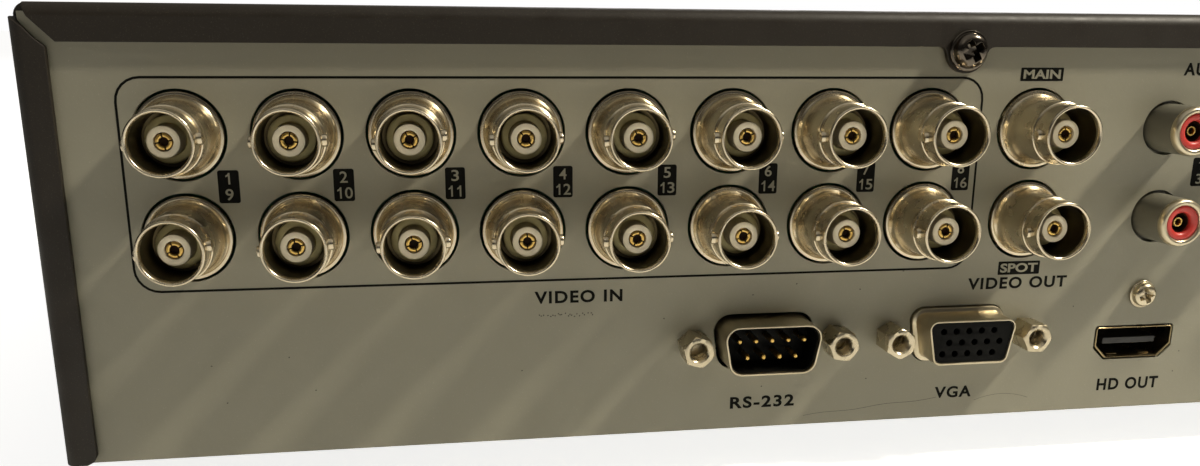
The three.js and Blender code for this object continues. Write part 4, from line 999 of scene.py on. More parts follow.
def jackscrew():
    sections = [
        (hexagon_ring(JACK_FLATS - 0.3, 9), 0.3), (hexagon_ring(JACK_FLATS, 9), 0.45),
        (hexagon_ring(JACK_FLATS, 9), 5.25), (hexagon_ring(JACK_FLATS, 2.56), 5.38),
        (hexagon_ring(JACK_FLATS, 2.42), 5.46), (hexagon_ring(JACK_FLATS - 0.1, 2.34), JACK_FRONT),
        (circle(0, 0, 1.74, 48), JACK_FRONT), (circle(0, 0, 1.5, 48), 5.3),
    ]
    depth = 5.15
    while depth > 2.2:
        sections += [(circle(0, 0, 1.4, 48), depth), (circle(0, 0, 1.54, 48), depth - THREAD_STEP / 2)]
        depth -= THREAD_STEP
    sections.append((circle(0, 0, 1.36, 48), 2.0))
    return lofted(sections, capped=True)


jackscrews = repeated(jackscrew(), [(u, v, 0) for u, v in JACK_PLACES], ZINC, math.pi / 3, 8)
piece("jackscrews", jackscrews, ZINC, JACK_NODES, crease=28)

# %% [markdown]
# ## Digital video port
#
# The port is a folded steel mouth with two cut lower corners. Inside is a black tongue with gilt strips,
# and four small springs press on the plug from the upper and lower walls.

# %% Mouth, tongue and springs
SPRING_SHIFT, SPRING_HALF = 3.2, (1.0, 0.12)
TONGUE_HALF, TONGUE_FRONT = (5.25, 0.6), -1.2
STRIPS, STRIP_PITCH = 10, 1.0
mouth_sections = [
    (mouth_outline(0, 0.5), MOUTH_BACK), (mouth_outline(0, 0.5), 0.0), (mouth_outline(0.07, 0.45), 0.08),
    (mouth_outline(MOUTH_WALL - 0.06, 0.3), 0.06), (mouth_outline(MOUTH_WALL, 0.3), -0.05),
    (mouth_outline(MOUTH_WALL, 0.3), MOUTH_BACK + 1.5),
]
springs = []
for side in (-1, 1):
    for offset in (-SPRING_SHIFT, SPRING_SHIFT):
        v = digital_at.y + side * (MOUTH_SIZE[1] / 2 - MOUTH_WALL - 0.18)
        u = digital_at.x + offset
        a, b = SPRING_HALF
        springs.append(slab((u - a, v - b, -6.0), (u + a, v + b, -1.0)))
mouth = together(lofted(mouth_sections, capped=True), *[eased(spring, 0.1) for spring in springs])
piece("digital_mouth", mouth, MOUTH_METAL, ["digital_port"])
a, b = TONGUE_HALF
tongue_low = (digital_at.x - a, digital_at.y - b, MOUTH_BACK + 1)
digital_tongue = slab(tongue_low, (digital_at.x + a, digital_at.y + b, TONGUE_FRONT))
mouth_floor = prism(mouth_outline(MOUTH_WALL + 0.02, 0.3), MOUTH_BACK + 1.5, MOUTH_BACK + 1.9)
piece("digital_tongue", together(eased(digital_tongue, 0.15), mouth_floor), BLACK_PLASTIC)
strip_places = [
    (digital_at.x + (k - (STRIPS - 1) / 2) * STRIP_PITCH, digital_at.y - 0.62, -3.2) for k in range(STRIPS)
]
strip = slab((-0.22, -0.05, -2), (0.22, 0.05, 1.4))
piece("digital_strips", repeated(strip, strip_places, GOLD), GOLD)

# %% [markdown]
# ## Pan-head screws
#
# The cover screws are black chromed and the small ones bright zinc. A head is a turned dome over a thin
# washer rim. Its cross recess narrows towards the bottom, so the cutter is two crossed bars that taper
# downwards.

# %% Screw heads with a cross recess
def screw_head(radius, height, seat, reach):
    rim = 0.3
    profile = [
        (0, seat), (radius, seat), (radius, seat + rim * 0.7), (radius * 0.97, seat + rim),
        (radius * 0.88, seat + rim), (radius * 0.86, seat + rim * 1.4),
        (radius * 0.83, seat + height * 0.62), (radius * 0.74, seat + height * 0.84),
        (radius * 0.58, seat + height * 0.96), (radius * 0.3, seat + height), (0, seat + height),
    ]
    top, bottom = seat + height + 0.2, seat + 0.45
    cutters = []
    for long_way in (0, 1):
        wide, narrow = (reach, 0.34 * reach), (reach * 0.55, 0.2 * reach)
        if long_way:
            wide, narrow = wide[::-1], narrow[::-1]
        low, high = rectangle(0, 0, 2 * narrow[0], 2 * narrow[1]), rectangle(0, 0, 2 * wide[0], 2 * wide[1])
        cutters.append(lofted([(low, bottom), (high, top)], capped=True))
    return eased(carved(turned(profile, 48), *cutters), 0.06)


def screw_shank(radius, low, high):
    """A threaded shank as stacked rings, which reads as a thread at this size."""
    profile = [(0, low)]
    depth = low
    while depth < high - 0.5:
        profile += [(radius * 0.84, depth), (radius, depth + 0.25)]
        depth += 0.5
    return turned(profile + [(radius * 0.84, high), (0, high)], 20)


# %% Cover screws and small screws
COVER_HEAD, COVER_HEAD_HEIGHT, COVER_SEAT = 3.25, 1.9, 1.6
SMALL_HEAD, SMALL_HEAD_HEIGHT, SMALL_SEAT = 2.5, 1.6, 0.3
cover_screw = together(
    screw_head(COVER_HEAD, COVER_HEAD_HEIGHT, COVER_SEAT, 1.95), screw_shank(1.35, -4.3, COVER_SEAT + 0.1),
)
small_screw = together(
    screw_head(SMALL_HEAD, SMALL_HEAD_HEIGHT, SMALL_SEAT, 1.6), screw_shank(1.25, -4.6, SMALL_SEAT + 0.1),
)
cover_screws = repeated(cover_screw, [(u, v, 0) for u, v in COVER_SCREW_PLACES], BLACK_CHROME, 0.6, 3)
piece("cover_screws", cover_screws, BLACK_CHROME, ["cover_screw_1", "cover_screw_2"])
small_places = [(digital_screw_at.x, digital_screw_at.y, 0), (ground_at.x, ground_at.y, 0)]
small_screws = repeated(small_screw, small_places, ZINC, 1.5, 2)
piece("small_screws", small_screws, ZINC, ["digital_screw", "ground_screw"])

# %% [markdown]
# ## Printed words
#
# The panel is screen printed. Each word is a text curve, fattened a little, made a mesh and fitted between
# its two ends and its height, then laid on the paint as a film a few hundredths of a millimetre thick.
# Number boxes are solid ink, and their digits lie on top in the panel's own paint. Real geometry keeps its
# edges crisp at any distance.

# %% Ink finish and lettering
INK = 0.03
INK_BLACK = moulded("panel_ink", (0.004, 0.004, 0.003), 0.60, 0.0006, 0.000004, 0.2)
set_shader(INK_BLACK, "Specular IOR Level", 0.08)


def lettering(words, left, right, base, cap, bold=0.03, lean=0.0, spacing=1.0):
    """Words between two ends, standing on a base line, with capitals of the given height."""
    curve = bpy.data.curves.new("words", "FONT")
    curve.body = words
    curve.offset = bold
    curve.extrude = 0.5
    curve.resolution_u = 5
    curve.shear = lean
    curve.space_character = spacing
    mesh = applied(bpy.data.objects.new("words", curve))
    spans = [
        (min(p.co[axis] for p in mesh.vertices), max(p.co[axis] for p in mesh.vertices))
        for axis in range(3)
    ]
    start = Vector([low for low, _ in spans])
    stretch = [target / (high - low) for target, (low, high) in zip((right - left, cap, INK), spans)]
    mesh.transform(Matrix.Translation(-start))
    mesh.transform(Matrix.Diagonal((*stretch, 1)))
    mesh.transform(Matrix.Translation((left, base, 0)))
    return mesh


def ink_box(left, right, low, high, corner):
    outline = rectangle((left + right) / 2, (low + high) / 2, right - left, high - low)
    return prism(rounded(outline, corner, 4), 0, INK)


def raised_on_ink(mesh):
    mesh.transform(Matrix.Translation((0, 0, INK * 0.6)))
    return mesh


# %% Frame line and number boxes
FRAME_LEFT, FRAME_RIGHT, FRAME_TOP, FRAME_LOW = 12.95, 148.9, -10.27, -42.82
FRAME_LINE, FRAME_CORNER = 0.36, 3.8
BOX_SIZE, BOX_CORNER = (3.1, 5.0), 0.35
SOCKET_BOX_SHIFT, PHONO_BOX_SHIFT = 6.44, 1.05
DIGIT_HIGH, DIGIT_WIDE, DIGIT_STEP = 1.74, 1.16, 1.32
DIGIT_BASES = (2.86, 0.42)


def framed(left, right, low, high, line, corner):
    middle_u, middle_v = (left + right) / 2, (low + high) / 2
    outer = rounded(rectangle(middle_u, middle_v, right - left, high - low), corner)
    inner = rounded(
        rectangle(middle_u, middle_v, right - left - 2 * line, high - low - 2 * line), corner - line,
    )
    return punched(outer, [inner], 0, INK)


def flagged_one(left, base):
    """A 1 with its flag, which the built-in letters lack."""
    outline = [
        (0.48, 0), (0.70, 0), (0.70, 1), (0.52, 1), (0.38, 0.86), (0.16, 0.76), (0.16, 0.62), (0.48, 0.72),
    ]
    return prism([(left + DIGIT_WIDE * x, base + DIGIT_HIGH * y) for x, y in outline], 0, INK)


def digits(number, u, base):
    """A number with every digit in a cell of the same width."""
    text = str(number)
    cells = []
    for k, digit in enumerate(text):
        left = u + (k - (len(text) - 1) / 2) * DIGIT_STEP - DIGIT_WIDE / 2
        if digit == "1":
            cells.append(flagged_one(left, base))
        else:
            cells.append(lettering(digit, left, left + DIGIT_WIDE, base, DIGIT_HIGH, 0.01))
    return together(*cells)


box_low = (SOCKET_PLACES[0][1] + SOCKET_PLACES[8][1]) / 2 - BOX_SIZE[1] / 2
inks = [framed(FRAME_LEFT, FRAME_RIGHT, FRAME_LOW, FRAME_TOP, FRAME_LINE, FRAME_CORNER)]
cut_outs = []


def number_box(u, upper, lower):
    """An ink box with the number of the socket above it over the number of the one below it."""
    left, right = u - BOX_SIZE[0] / 2, u + BOX_SIZE[0] / 2
    inks.append(ink_box(left, right, box_low, box_low + BOX_SIZE[1], BOX_CORNER))
    for number, rise in zip((upper, lower), DIGIT_BASES):
        cut_outs.append(raised_on_ink(digits(number, u, box_low + rise)))


for column in range(8):
    number_box(SOCKET_PLACES[column][0] + SOCKET_BOX_SHIFT, column + 1, column + 9)
for k, column in enumerate(PHONO_COLUMNS[:2]):
    number_box(column + PHONO_PITCH / 2 - PHONO_BOX_SHIFT, k + 1, k + 3)
print("number boxes:", len(inks) - 1)

# %% Words
BOXED_WORDS = [
    ("MAIN", (155.2, 162.9, -10.98, -8.8), (155.7, 162.4, -10.62, 1.5)),
    ("SPOT", (154.7, 162.5, -44.15, -41.77), (155.1, 162.1, -43.76, 1.62)),
]
for words, box, ends in BOXED_WORDS:
    inks.append(ink_box(*box, 0.15))
    cut_outs.append(raised_on_ink(lettering(words, *ends)))
WORDS = [
    ("VIDEO IN", 73.8, 88.3, -46.57, 2.1), ("VIDEO OUT", 149.3, 168.0, -46.67, 2.1),
    ("RS-232", 107.3, 118.8, -66.47, 2.15), ("VGA", 144.9, 151.9, -66.47, 2.15),
    ("HD OUT", 176.6, 188.9, -66.57, 2.3), ("AUDIO IN", 185.3, 199.6, -10.07, 2.15),
    ("AUDIO OUT", 209.4, 226.6, -10.07, 2.15), ("USB", 203.9, 210.1, -66.47, 2.15),
    ("LAN", 228.0, 234.2, -66.47, 2.15), ("ALARM / CONTROL", 258.5, 285.5, -66.47, 2.15),
]
for words, left, right, base, cap in WORDS:
    inks.append(lettering(words, left, right, base, cap, spacing=1.16))
for k in range(TERMINAL_WAYS):
    u = terminal_at.x + (k - (TERMINAL_WAYS - 1) / 2) * TERMINAL_STEP
    inks.append(lettering(str(k + 1), u - 0.5, u + 0.5, -49.5, 1.4, 0.01))
earth = [slab((ground_at.x - half, v - 0.15, 0), (ground_at.x + half, v + 0.15, INK))
         for half, v in ((2.0, -62.2), (1.3, -62.9), (0.6, -63.6))]
earth.append(slab((ground_at.x - 0.15, -62.1, 0), (ground_at.x + 0.15, -60.3, INK)))
piece("panel_printing", together(*inks, *earth), INK_BLACK)
piece("box_numbers", together(*cut_outs), PANEL_PAINT)

# %% [markdown]
# ## Traces of use
#
# The panel isn't new: there is a faint scuff below the first words, a few dark specks of dirt, and a
# hairline scratch. Specks and scuff are thin flakes, set by the repeating tree on places from a fixed seed.
# The hairlines are flat ribbons.

# %% Specks and a hairline
SPECKS, SCUFF_MARKS = 26, 22
SOCKET_CLEARANCE = 7.5
chance = random.Random(7)
speck = prism([(0.16, 0), (0.05, 0.1), (-0.12, 0.06), (-0.15, -0.05), (0.02, -0.12)], 0, 0.012)
speck_places = [(chance.uniform(12, 196), chance.uniform(-66, -12), 0) for k in range(SPECKS)]
sockets = [Vector(place) for place in SOCKET_PLACES + PHONO_PLACES]
speck_places = [
    place for place in speck_places
    if min((Vector(place[:2]) - socket).length for socket in sockets) > SOCKET_CLEARANCE
]
speck_places += [
    (74.6 + k * 0.42 + chance.uniform(-0.2, 0.2), -48.6 + chance.uniform(-0.35, 0.3), 0)
    for k in range(SCUFF_MARKS)
]
DIRT = moulded("dirt_specks", (0.060, 0.055, 0.040), 0.7)
piece("dirt", repeated(speck, speck_places, DIRT, 6.2, 5), DIRT)


def hairline(points, width):
    """A thin flat ribbon along a line of points on the panel."""
    left, right = [], []
    for k, point in enumerate(points):
        ahead = Vector(points[min(k + 1, len(points) - 1)]) - Vector(points[max(k - 1, 0)])
        side = Vector((-ahead.y, ahead.x)).normalized() * (width / 2)
        left.append(tuple(Vector(point) + side))
        right.append(tuple(Vector(point) - side))
    return prism(left + right[::-1], 0, 0.01)


scratch_points = [(120.6 + 1.9 * k, -68.4 + 0.16 * k + 0.14 * math.sin(k)) for k in range(14)]
arc_points = [(152.6 + 1.3 * k, -66.2 - 0.06 * (k - 4) ** 2) for k in range(9)]
marks = together(hairline(scratch_points, 0.07), hairline(arc_points, 0.06))
piece("scratches", marks, DIRT)

# %% [markdown]
# ## Data and network ports
#
# A port is a folded steel mouth around a plastic tongue. The mouth is a punched block whose rims are eased,
# the tongue carries flat gilt contacts, and the network jack has eight sprung wires and two small lamps.

# %% Double data port
USB_OPENING = (12.2, 4.9)
USB_DEPTH = 14.0
USB_RISE = 3.7
CONTACT_GAP, CONTACT_HALF = 2.3, 0.5
PORT_TONGUE_HALF = (5.2, 0.8)


def port_tongue(at, opening, board_front, sink=2.0):
    """Tongue and its four contacts inside a data port whose front is at board_front."""
    u, v = at
    base = v + opening[1] / 5
    a, b = PORT_TONGUE_HALF
    tongue = slab((u - a, base - b, board_front - USB_DEPTH + 1), (u + a, base + b, board_front - sink))
    strips = [
        slab((u + (k - 1.5) * CONTACT_GAP - CONTACT_HALF, base - 0.88, board_front - 9),
             (u + (k - 1.5) * CONTACT_GAP + CONTACT_HALF, base - 0.78, board_front - sink - 0.7))
        for k in range(4)
    ]
    return eased(tongue, 0.2), together(*strips)


def port_shell(at, size, openings, board_front):
    """A steel block with rounded mouths, closed at the back."""
    outline = rounded(rectangle(at.x, at.y, *size), 0.4, 4)
    mouths = [rounded(rectangle(u, v, *opening), 0.5, 4) for (u, v), opening in openings]
    front = eased(punched(outline, mouths, board_front - USB_DEPTH + 1.2, board_front), 0.14)
    return together(front, prism(outline, board_front - USB_DEPTH, board_front - USB_DEPTH + 1.1))


_, usb_high = board_box("usb_rear")
usb_rows = [(usb_at.x, usb_at.y + rise) for rise in (-USB_RISE, USB_RISE)]
usb_shell = port_shell(usb_at, (13.2, 14.6), [(row, USB_OPENING) for row in usb_rows], usb_high.z)
piece("data_port_shell", usb_shell, TIN, ["usb_rear"])
pairs = [port_tongue(row, USB_OPENING, usb_high.z) for row in usb_rows]
piece("data_port_tongues", together(*[tongue for tongue, _ in pairs]), SOCKET_WHITE)
piece("data_port_contacts", together(*[strips for _, strips in pairs]), GOLD)

# %% Network jack
LAN_SIZE, LAN_MOUTH, LATCH = (15.8, 13.4), (11.8, 8.2), (6.0, 2.1)
WIRES, WIRE_PITCH, WIRE_LEAN = 8, 1.02, -18
LINK_LAMP_SHIFT, LINK_LAMP_HALF = 5.2, 1.1
lan_low, lan_high = board_box("lan_jack")
u, v = lan_at.x, lan_at.y + 1
a, b, latch_low = LAN_MOUTH[0] / 2, LAN_MOUTH[1] / 2, v - LAN_MOUTH[1] / 2 - LATCH[1]
jack_mouth = [
    (u - LATCH[0] / 2, latch_low), (u + LATCH[0] / 2, latch_low), (u + LATCH[0] / 2, v - b), (u + a, v - b),
    (u + a, v + b), (u - a, v + b), (u - a, v - b), (u - LATCH[0] / 2, v - b),
]
lan_outline = rounded(rectangle(lan_at.x, lan_at.y, *LAN_SIZE), 0.4, 4)
lan_front = eased(punched(lan_outline, [jack_mouth], -11.5, lan_high.z), 0.14)
lan_back = prism(lan_outline, lan_low.z, -11.6)
piece("network_shell", together(lan_front, lan_back), TIN, ["lan_jack"])
wire = slab((-0.2, -3.2, 0), (0.2, -2.9, 9))
wire.transform(Matrix.Rotation(math.radians(WIRE_LEAN), 4, "X"))
wire_places = [(u + (k - (WIRES - 1) / 2) * WIRE_PITCH, v + b + 0.2, -11) for k in range(WIRES)]
piece("network_wires", repeated(wire, wire_places, GOLD), GOLD)
GREEN_LENS = moulded("green_lens", (0.03, 0.32, 0.08), 0.25)
lenses = [
    slab((lan_at.x + side * LINK_LAMP_SHIFT - LINK_LAMP_HALF, lan_low.y + 0.7, lan_high.z - 1),
         (lan_at.x + side * LINK_LAMP_SHIFT + LINK_LAMP_HALF, lan_low.y + 2.0, lan_high.z + 0.08))
    for side in (-1, 1)
]
piece("network_lamps", eased(together(*lenses), 0.15), GREEN_LENS)

# %% [markdown]
# ## Alarm terminals
#
# Ten wires are clamped in a plug that pulls out of its header. The plug is the moving piece, so it is a
# body of its own. Its face has a square funnel and a slotted screw for each wire.

# %% Header and plug
head_low, head_high = board_box("terminal_header")
plug_low, plug_high = board_box("terminal_plug")
HEADER_WALL = 1.2
header_outline = rectangle(terminal_at.x, terminal_at.y, head_high.x - head_low.x, head_high.y - head_low.y)
header_mouth = rectangle(
    terminal_at.x, terminal_at.y,
    head_high.x - head_low.x - 2 * HEADER_WALL, head_high.y - head_low.y - 2 * HEADER_WALL,
)
header = eased(punched(header_outline, [header_mouth], head_low.z + 1.6, head_high.z), 0.15)
header_back = prism(header_outline, head_low.z, head_low.z + 1.4)
piece(
    "terminal_housing", together(header, header_back), TERMINAL_GREEN,
    ["terminal_header"],
)

# %% Plug with its clamps
FUNNEL_DROP, FUNNEL_SIZE = 1.84, 2.8
CLAMP_RISE, CLAMP_WELL = 3.07, 1.3
ways = [terminal_at.x + (k - (TERMINAL_WAYS - 1) / 2) * TERMINAL_STEP for k in range(TERMINAL_WAYS)]
half_wide = TERMINAL_WAYS * TERMINAL_STEP / 2
head_v = (terminal_at.y - 4.6, terminal_at.y + 5.6)
head_face = rectangle(terminal_at.x, sum(head_v) / 2, 2 * half_wide, head_v[1] - head_v[0])
funnels = [
    rounded(rectangle(way, terminal_at.y - FUNNEL_DROP, FUNNEL_SIZE, FUNNEL_SIZE), 0.3, 3) for way in ways
]
wells = [circle(way, terminal_at.y + CLAMP_RISE, CLAMP_WELL, 24) for way in ways]
plug_face = eased(punched(head_face, funnels + wells, 6.2, plug_high.z), 0.15)
plug_body = eased(
    slab((terminal_at.x - half_wide, head_v[0], 1.3), (terminal_at.x + half_wide, head_v[1], 6.1)), 0.15,
)
nose_low = (terminal_at.x - half_wide + 0.3, terminal_at.y - 3.1, plug_low.z)
plug_nose = eased(slab(nose_low, (terminal_at.x + half_wide - 0.3, terminal_at.y + 3.1, 1.5)), 0.15)
plug = together(plug_face, plug_body, plug_nose)
piece(
    "terminal_plug_body", plug, TERMINAL_GREEN, ["terminal_plug"],
    body="pluggable_terminal",
)
CLAMP_PROFILE = [(0, 6.15), (1.15, 6.15), (1.15, 8.5), (1.0, 8.65), (0, 8.65)]
clamp = carved(turned(CLAMP_PROFILE, 24), slab((-1.4, -0.2, 8.1), (1.4, 0.2, 9)))
clamp_places = [(way, terminal_at.y + CLAMP_RISE, 0) for way in ways]
clamps = repeated(clamp, clamp_places, ZINC, 3.0, 9)
piece("terminal_clamps", clamps, ZINC, body="pluggable_terminal")

# %% [markdown]
# ## Mains inlet and switch
#
# The inlet is one black moulding: a flange, the deep socket with its two cut corners and three blades, and
# a well for the rocker. Both hollows are cups inside the flange's openings. The rocker is a shallow V
# across its pivot, with a hollow for the finger on each half, and it is drawn in its own plane and then
# turned across the panel.

# %% Inlet moulding
INLET_FACE = board_box("power_inlet")[1].z
SOCKET_WIDE, SOCKET_HIGH, SOCKET_CUT, SOCKET_DEEP = 23.0, 16.0, 4.0, 16.0
WELL_SIZE, WELL_DEEP = (10.8, 16.8), 9.0
mains_u, rocker_u = inlet_at.x - 9.5, inlet_at.x + 13.5


def mains_mouth(grow):
    a, b = SOCKET_WIDE / 2 + grow, SOCKET_HIGH / 2 + grow
    corner = SOCKET_CUT
    u, v = mains_u, inlet_at.y
    outline = [(u - a + corner, v - b), (u + a - corner, v - b), (u + a, v - b + corner),
               (u + a, v + b), (u - a, v + b), (u - a, v - b + corner)]
    return rounded(outline, 0.8, 4)


def well_mouth(grow):
    return rounded(rectangle(rocker_u, inlet_at.y, WELL_SIZE[0] + 2 * grow, WELL_SIZE[1] + 2 * grow), 0.6, 4)


def cup(outline_at, depth):
    """A hollow with a wall and a floor; its rim stands just under the flange's face."""
    face = INLET_FACE - 0.15
    return lofted([
        (outline_at(0.9), INLET_FACE - depth - 1), (outline_at(0.9), face), (outline_at(0.25), face),
        (outline_at(0), face - 0.4), (outline_at(0), INLET_FACE - depth),
    ], capped=True)


flange_outline = rounded(rectangle(inlet_at.x, inlet_at.y, 50, 28), 2.5)
flange = eased(punched(flange_outline, [mains_mouth(0.6), well_mouth(0.6)], 0.3, INLET_FACE), 0.35)
inlet = together(flange, cup(mains_mouth, SOCKET_DEEP), cup(well_mouth, WELL_DEEP))
piece("mains_inlet", inlet, BLACK_PLASTIC, ["power_inlet"])
blades = []
for step, rise in ((-7, 0.5), (0, -0.5), (7, 0.5)):
    u, v, floor_w = mains_u + step, inlet_at.y - rise * 4, INLET_FACE - SOCKET_DEEP
    blades.append(eased(slab((u - 1, v - 2, floor_w - 0.5), (u + 1, v + 2, floor_w + 11)), 0.45, 3))
piece("mains_blades", together(*blades), ZINC)

# %% Rocker
ROCKER_HALF, ROCKER_WIDE, ROCKER_SWING = 7.6, 10.0, 12.0
tip = ROCKER_HALF * math.tan(math.radians(ROCKER_SWING))
rocker_side = [(-ROCKER_HALF, tip * 0.1)]
for half in (-1, 1):
    for k in range(1, 8):
        along = half * ROCKER_HALF * (k / 8 if half > 0 else 1 - k / 8)
        chord = tip * (along / ROCKER_HALF if half > 0 else -0.1 * along / ROCKER_HALF)
        rocker_side.append((along, chord - 0.35 * math.sin(math.pi * abs(along) / ROCKER_HALF)))
rocker_side += [(ROCKER_HALF, tip), (ROCKER_HALF * 0.6, -3), (-ROCKER_HALF * 0.6, -3)]
ACROSS = Matrix(((0, 0, 1, rocker_u), (1, 0, 0, inlet_at.y), (0, 1, 0, INLET_FACE), (0, 0, 0, 1)))
rocker = eased(prism(rocker_side, -ROCKER_WIDE / 2, ROCKER_WIDE / 2), 0.3, 2, 30)
rocker.transform(ACROSS)
piece("mains_rocker", rocker, BLACK_PLASTIC, ["power_rocker"], body="rocker")
off_mark = punched(circle(0, 0, 1.5, 32), [circle(0, 0, 1.15, 32)], -0.03, 0.03)
off_mark.transform(Matrix.Translation((rocker_u, inlet_at.y + 4.3, INLET_FACE + tip * 0.5655 - 0.31)))
on_mark = slab(
    (rocker_u - 0.22, inlet_at.y - 5.6, INLET_FACE - 0.26),
    (rocker_u + 0.22, inlet_at.y - 2.8, INLET_FACE - 0.2),
)
marks = together(off_mark, on_mark)
piece("rocker_marks", marks, AUDIO_WHITE, body="rocker")

# %% [markdown]
# ## Fan behind its guard
#
# A 40 mm fan sits behind the slotted guard. Its blades are twisted: steep at the hub, flatter at the tip,
# so each is lofted through four stations, and a Geometry Nodes tree isn't needed for seven copies about one
# axis.

# %% Fan frame and rotor
fan_low, fan_high = board_box("fan_frame")
rotor_low, rotor_high = board_box("fan_rotor")
FAN_SIZE, FAN_SCREW_SHIFT, FAN_SCREW_HOLE, FAN_HUB = 40, 16, 1.7, 9
fan_outline = rounded(rectangle(fan_at.x, fan_at.y, FAN_SIZE, FAN_SIZE), 3)
screw_holes = [
    circle(fan_at.x + su * FAN_SCREW_SHIFT, fan_at.y + sv * FAN_SCREW_SHIFT, FAN_SCREW_HOLE, 20)
    for su in (-1, 1) for sv in (-1, 1)
]
fan_ring = punched(fan_outline, [circle(fan_at.x, fan_at.y, FAN_BORE), *screw_holes], fan_low.z, fan_high.z)
motor_profile = [(0, fan_low.z), (FAN_HUB, fan_low.z), (FAN_HUB, fan_low.z + 1), (0, fan_low.z + 1)]
fan_parts = [eased(fan_ring, 0.3), turned(motor_profile, 48, (fan_at.x, fan_at.y))]
for k in range(4):
    strut = slab((8, -1.2, fan_low.z), (FAN_BORE + 0.6, 1.2, fan_low.z + 1))
    strut.transform(Matrix.Rotation(math.pi / 4 + k * math.pi / 2, 4, "Z"))
    strut.transform(Matrix.Translation((fan_at.x, fan_at.y, 0)))
    fan_parts.append(strut)
piece("fan_housing", together(*fan_parts), BLACK_PLASTIC, ["fan_frame"])


# %% Rotor
BLADES, BLADE_HALF, BLADE_ROOT = 7, 3.7, 8.4


def fan_blade(turn_about):
    """A blade lofted through four stations, each (distance from the axis, pitch in degrees)."""
    stations = []
    for reach, pitch in ((BLADE_ROOT, 62), (11.5, 56), (14.8, 50), (17.7, 45)):
        lean = math.radians(pitch)
        chord, depth = BLADE_HALF * math.cos(lean) * 1.3, BLADE_HALF * math.sin(lean) * 0.95
        sweep = 0.03 * (reach - BLADE_ROOT)
        corners = []
        for along, thick in ((-1, -0.35), (1, -0.35), (1, 0.35), (-1, 0.35)):
            side = along * chord - thick * math.sin(lean)
            out = along * depth + thick * math.cos(lean)
            angle = turn_about + sweep + math.asin(side / reach)
            corners.append((reach * math.cos(angle), reach * math.sin(angle), out))
        stations.append(corners)
    points = [corner for station in stations for corner in station]
    faces = [[0, 1, 2, 3], [15, 14, 13, 12]]
    for s in range(3):
        for k in range(4):
            n = (k + 1) % 4
            faces.append([4 * s + k, 4 * s + n, 4 * s + 4 + n, 4 * s + 4 + k])
    return mesh_of(points, faces)


rotor_mid = (rotor_low.z + rotor_high.z) / 2
blades = together(*[fan_blade(2 * math.pi * k / BLADES) for k in range(BLADES)])
blades.transform(Matrix.Translation((fan_at.x, fan_at.y, rotor_mid)))
hub_profile = [
    (0, rotor_low.z), (8.9, rotor_low.z), (8.9, rotor_high.z - 1), (8.0, rotor_high.z), (0, rotor_high.z),
]
rotor = together(blades, turned(hub_profile, 48, (fan_at.x, fan_at.y)))
piece("fan_wheel", rotor, BLACK_PLASTIC, ["fan_rotor"], body="fan")

# %% [markdown]
# ## Feet
#
# Four rubber feet carry the case. Each is a turned cone with a recess for its screw. They stand upright, so
# they are drawn on a third board that simply is the frame in millimetres.

# %% Feet
PLAN = Matrix.Diagonal((MM, MM, MM, 1))
FOOT_NODES = [f"foot_{end}_{side}" for end in ("front", "rear") for side in ("left", "right")]
foot_boxes = [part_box(node) for node in FOOT_NODES]
foot_places = [tuple((low + high).xy / 2 / MM) + (0,) for low, high in foot_boxes]
foot_top = foot_boxes[0][1].z / MM
FOOT_PROFILE = [
    (0, 4.4), (3.1, 4.4), (3.1, 0.5), (3.4, 0.1), (3.9, 0), (8.9, 0), (9.35, 0.15), (9.55, 0.6), (10.6, 6.2),
    (11.0, 6.6), (11.0, foot_top - 0.2), (10.8, foot_top), (0, foot_top),
]
FOOT_SCREW_PROFILE = [(0, 2.6), (1.6, 2.8), (2.4, 3.4), (2.7, 4.0), (2.7, 4.45), (0, 4.45)]
turned_set("feet", FOOT_PROFILE, 56, foot_places, RUBBER, FOOT_NODES, PLAN)
turned_set("foot_screws", FOOT_SCREW_PROFILE, 32, foot_places, ZINC, board=PLAN)

# %% [markdown]
# ## Front bezel
#
# The front is a shallow plastic shell over the case. It is one block with its cavity and openings cut out
# and every rim eased. Two long grooves break up the face. Keys, dial and window are separate pieces, and
# the keys and the dial move.

# %% Bezel shell
BEZEL_DEEP, BEZEL_WALL, BEZEL_BACK = 18.0, 2.5, 0.3
CONTROL_B = CASE_HEIGHT / 2
WINDOW_A, WINDOW_SIZE = 75.0, (90.0, 22.0)
KEY_SIZE, KEY_FRONT = (16.0, 8.0), 19.2
menu_at, record_at = middle("menu_button", FRONT), middle("record_button", FRONT)
dial_at, power_at = middle("jog_dial", FRONT), middle("power_button", FRONT)
front_usb_at = middle("usb_front", FRONT)
DIAL_RADIUS, POWER_RADIUS = 20.0, 6.0


def through(outline):
    return prism(outline, BEZEL_DEEP - BEZEL_WALL - 1, BEZEL_DEEP + 1)


def key_hole(at):
    return through(rounded(rectangle(at.x, CONTROL_B, KEY_SIZE[0] + 0.6, KEY_SIZE[1] + 0.6), 2, 4))


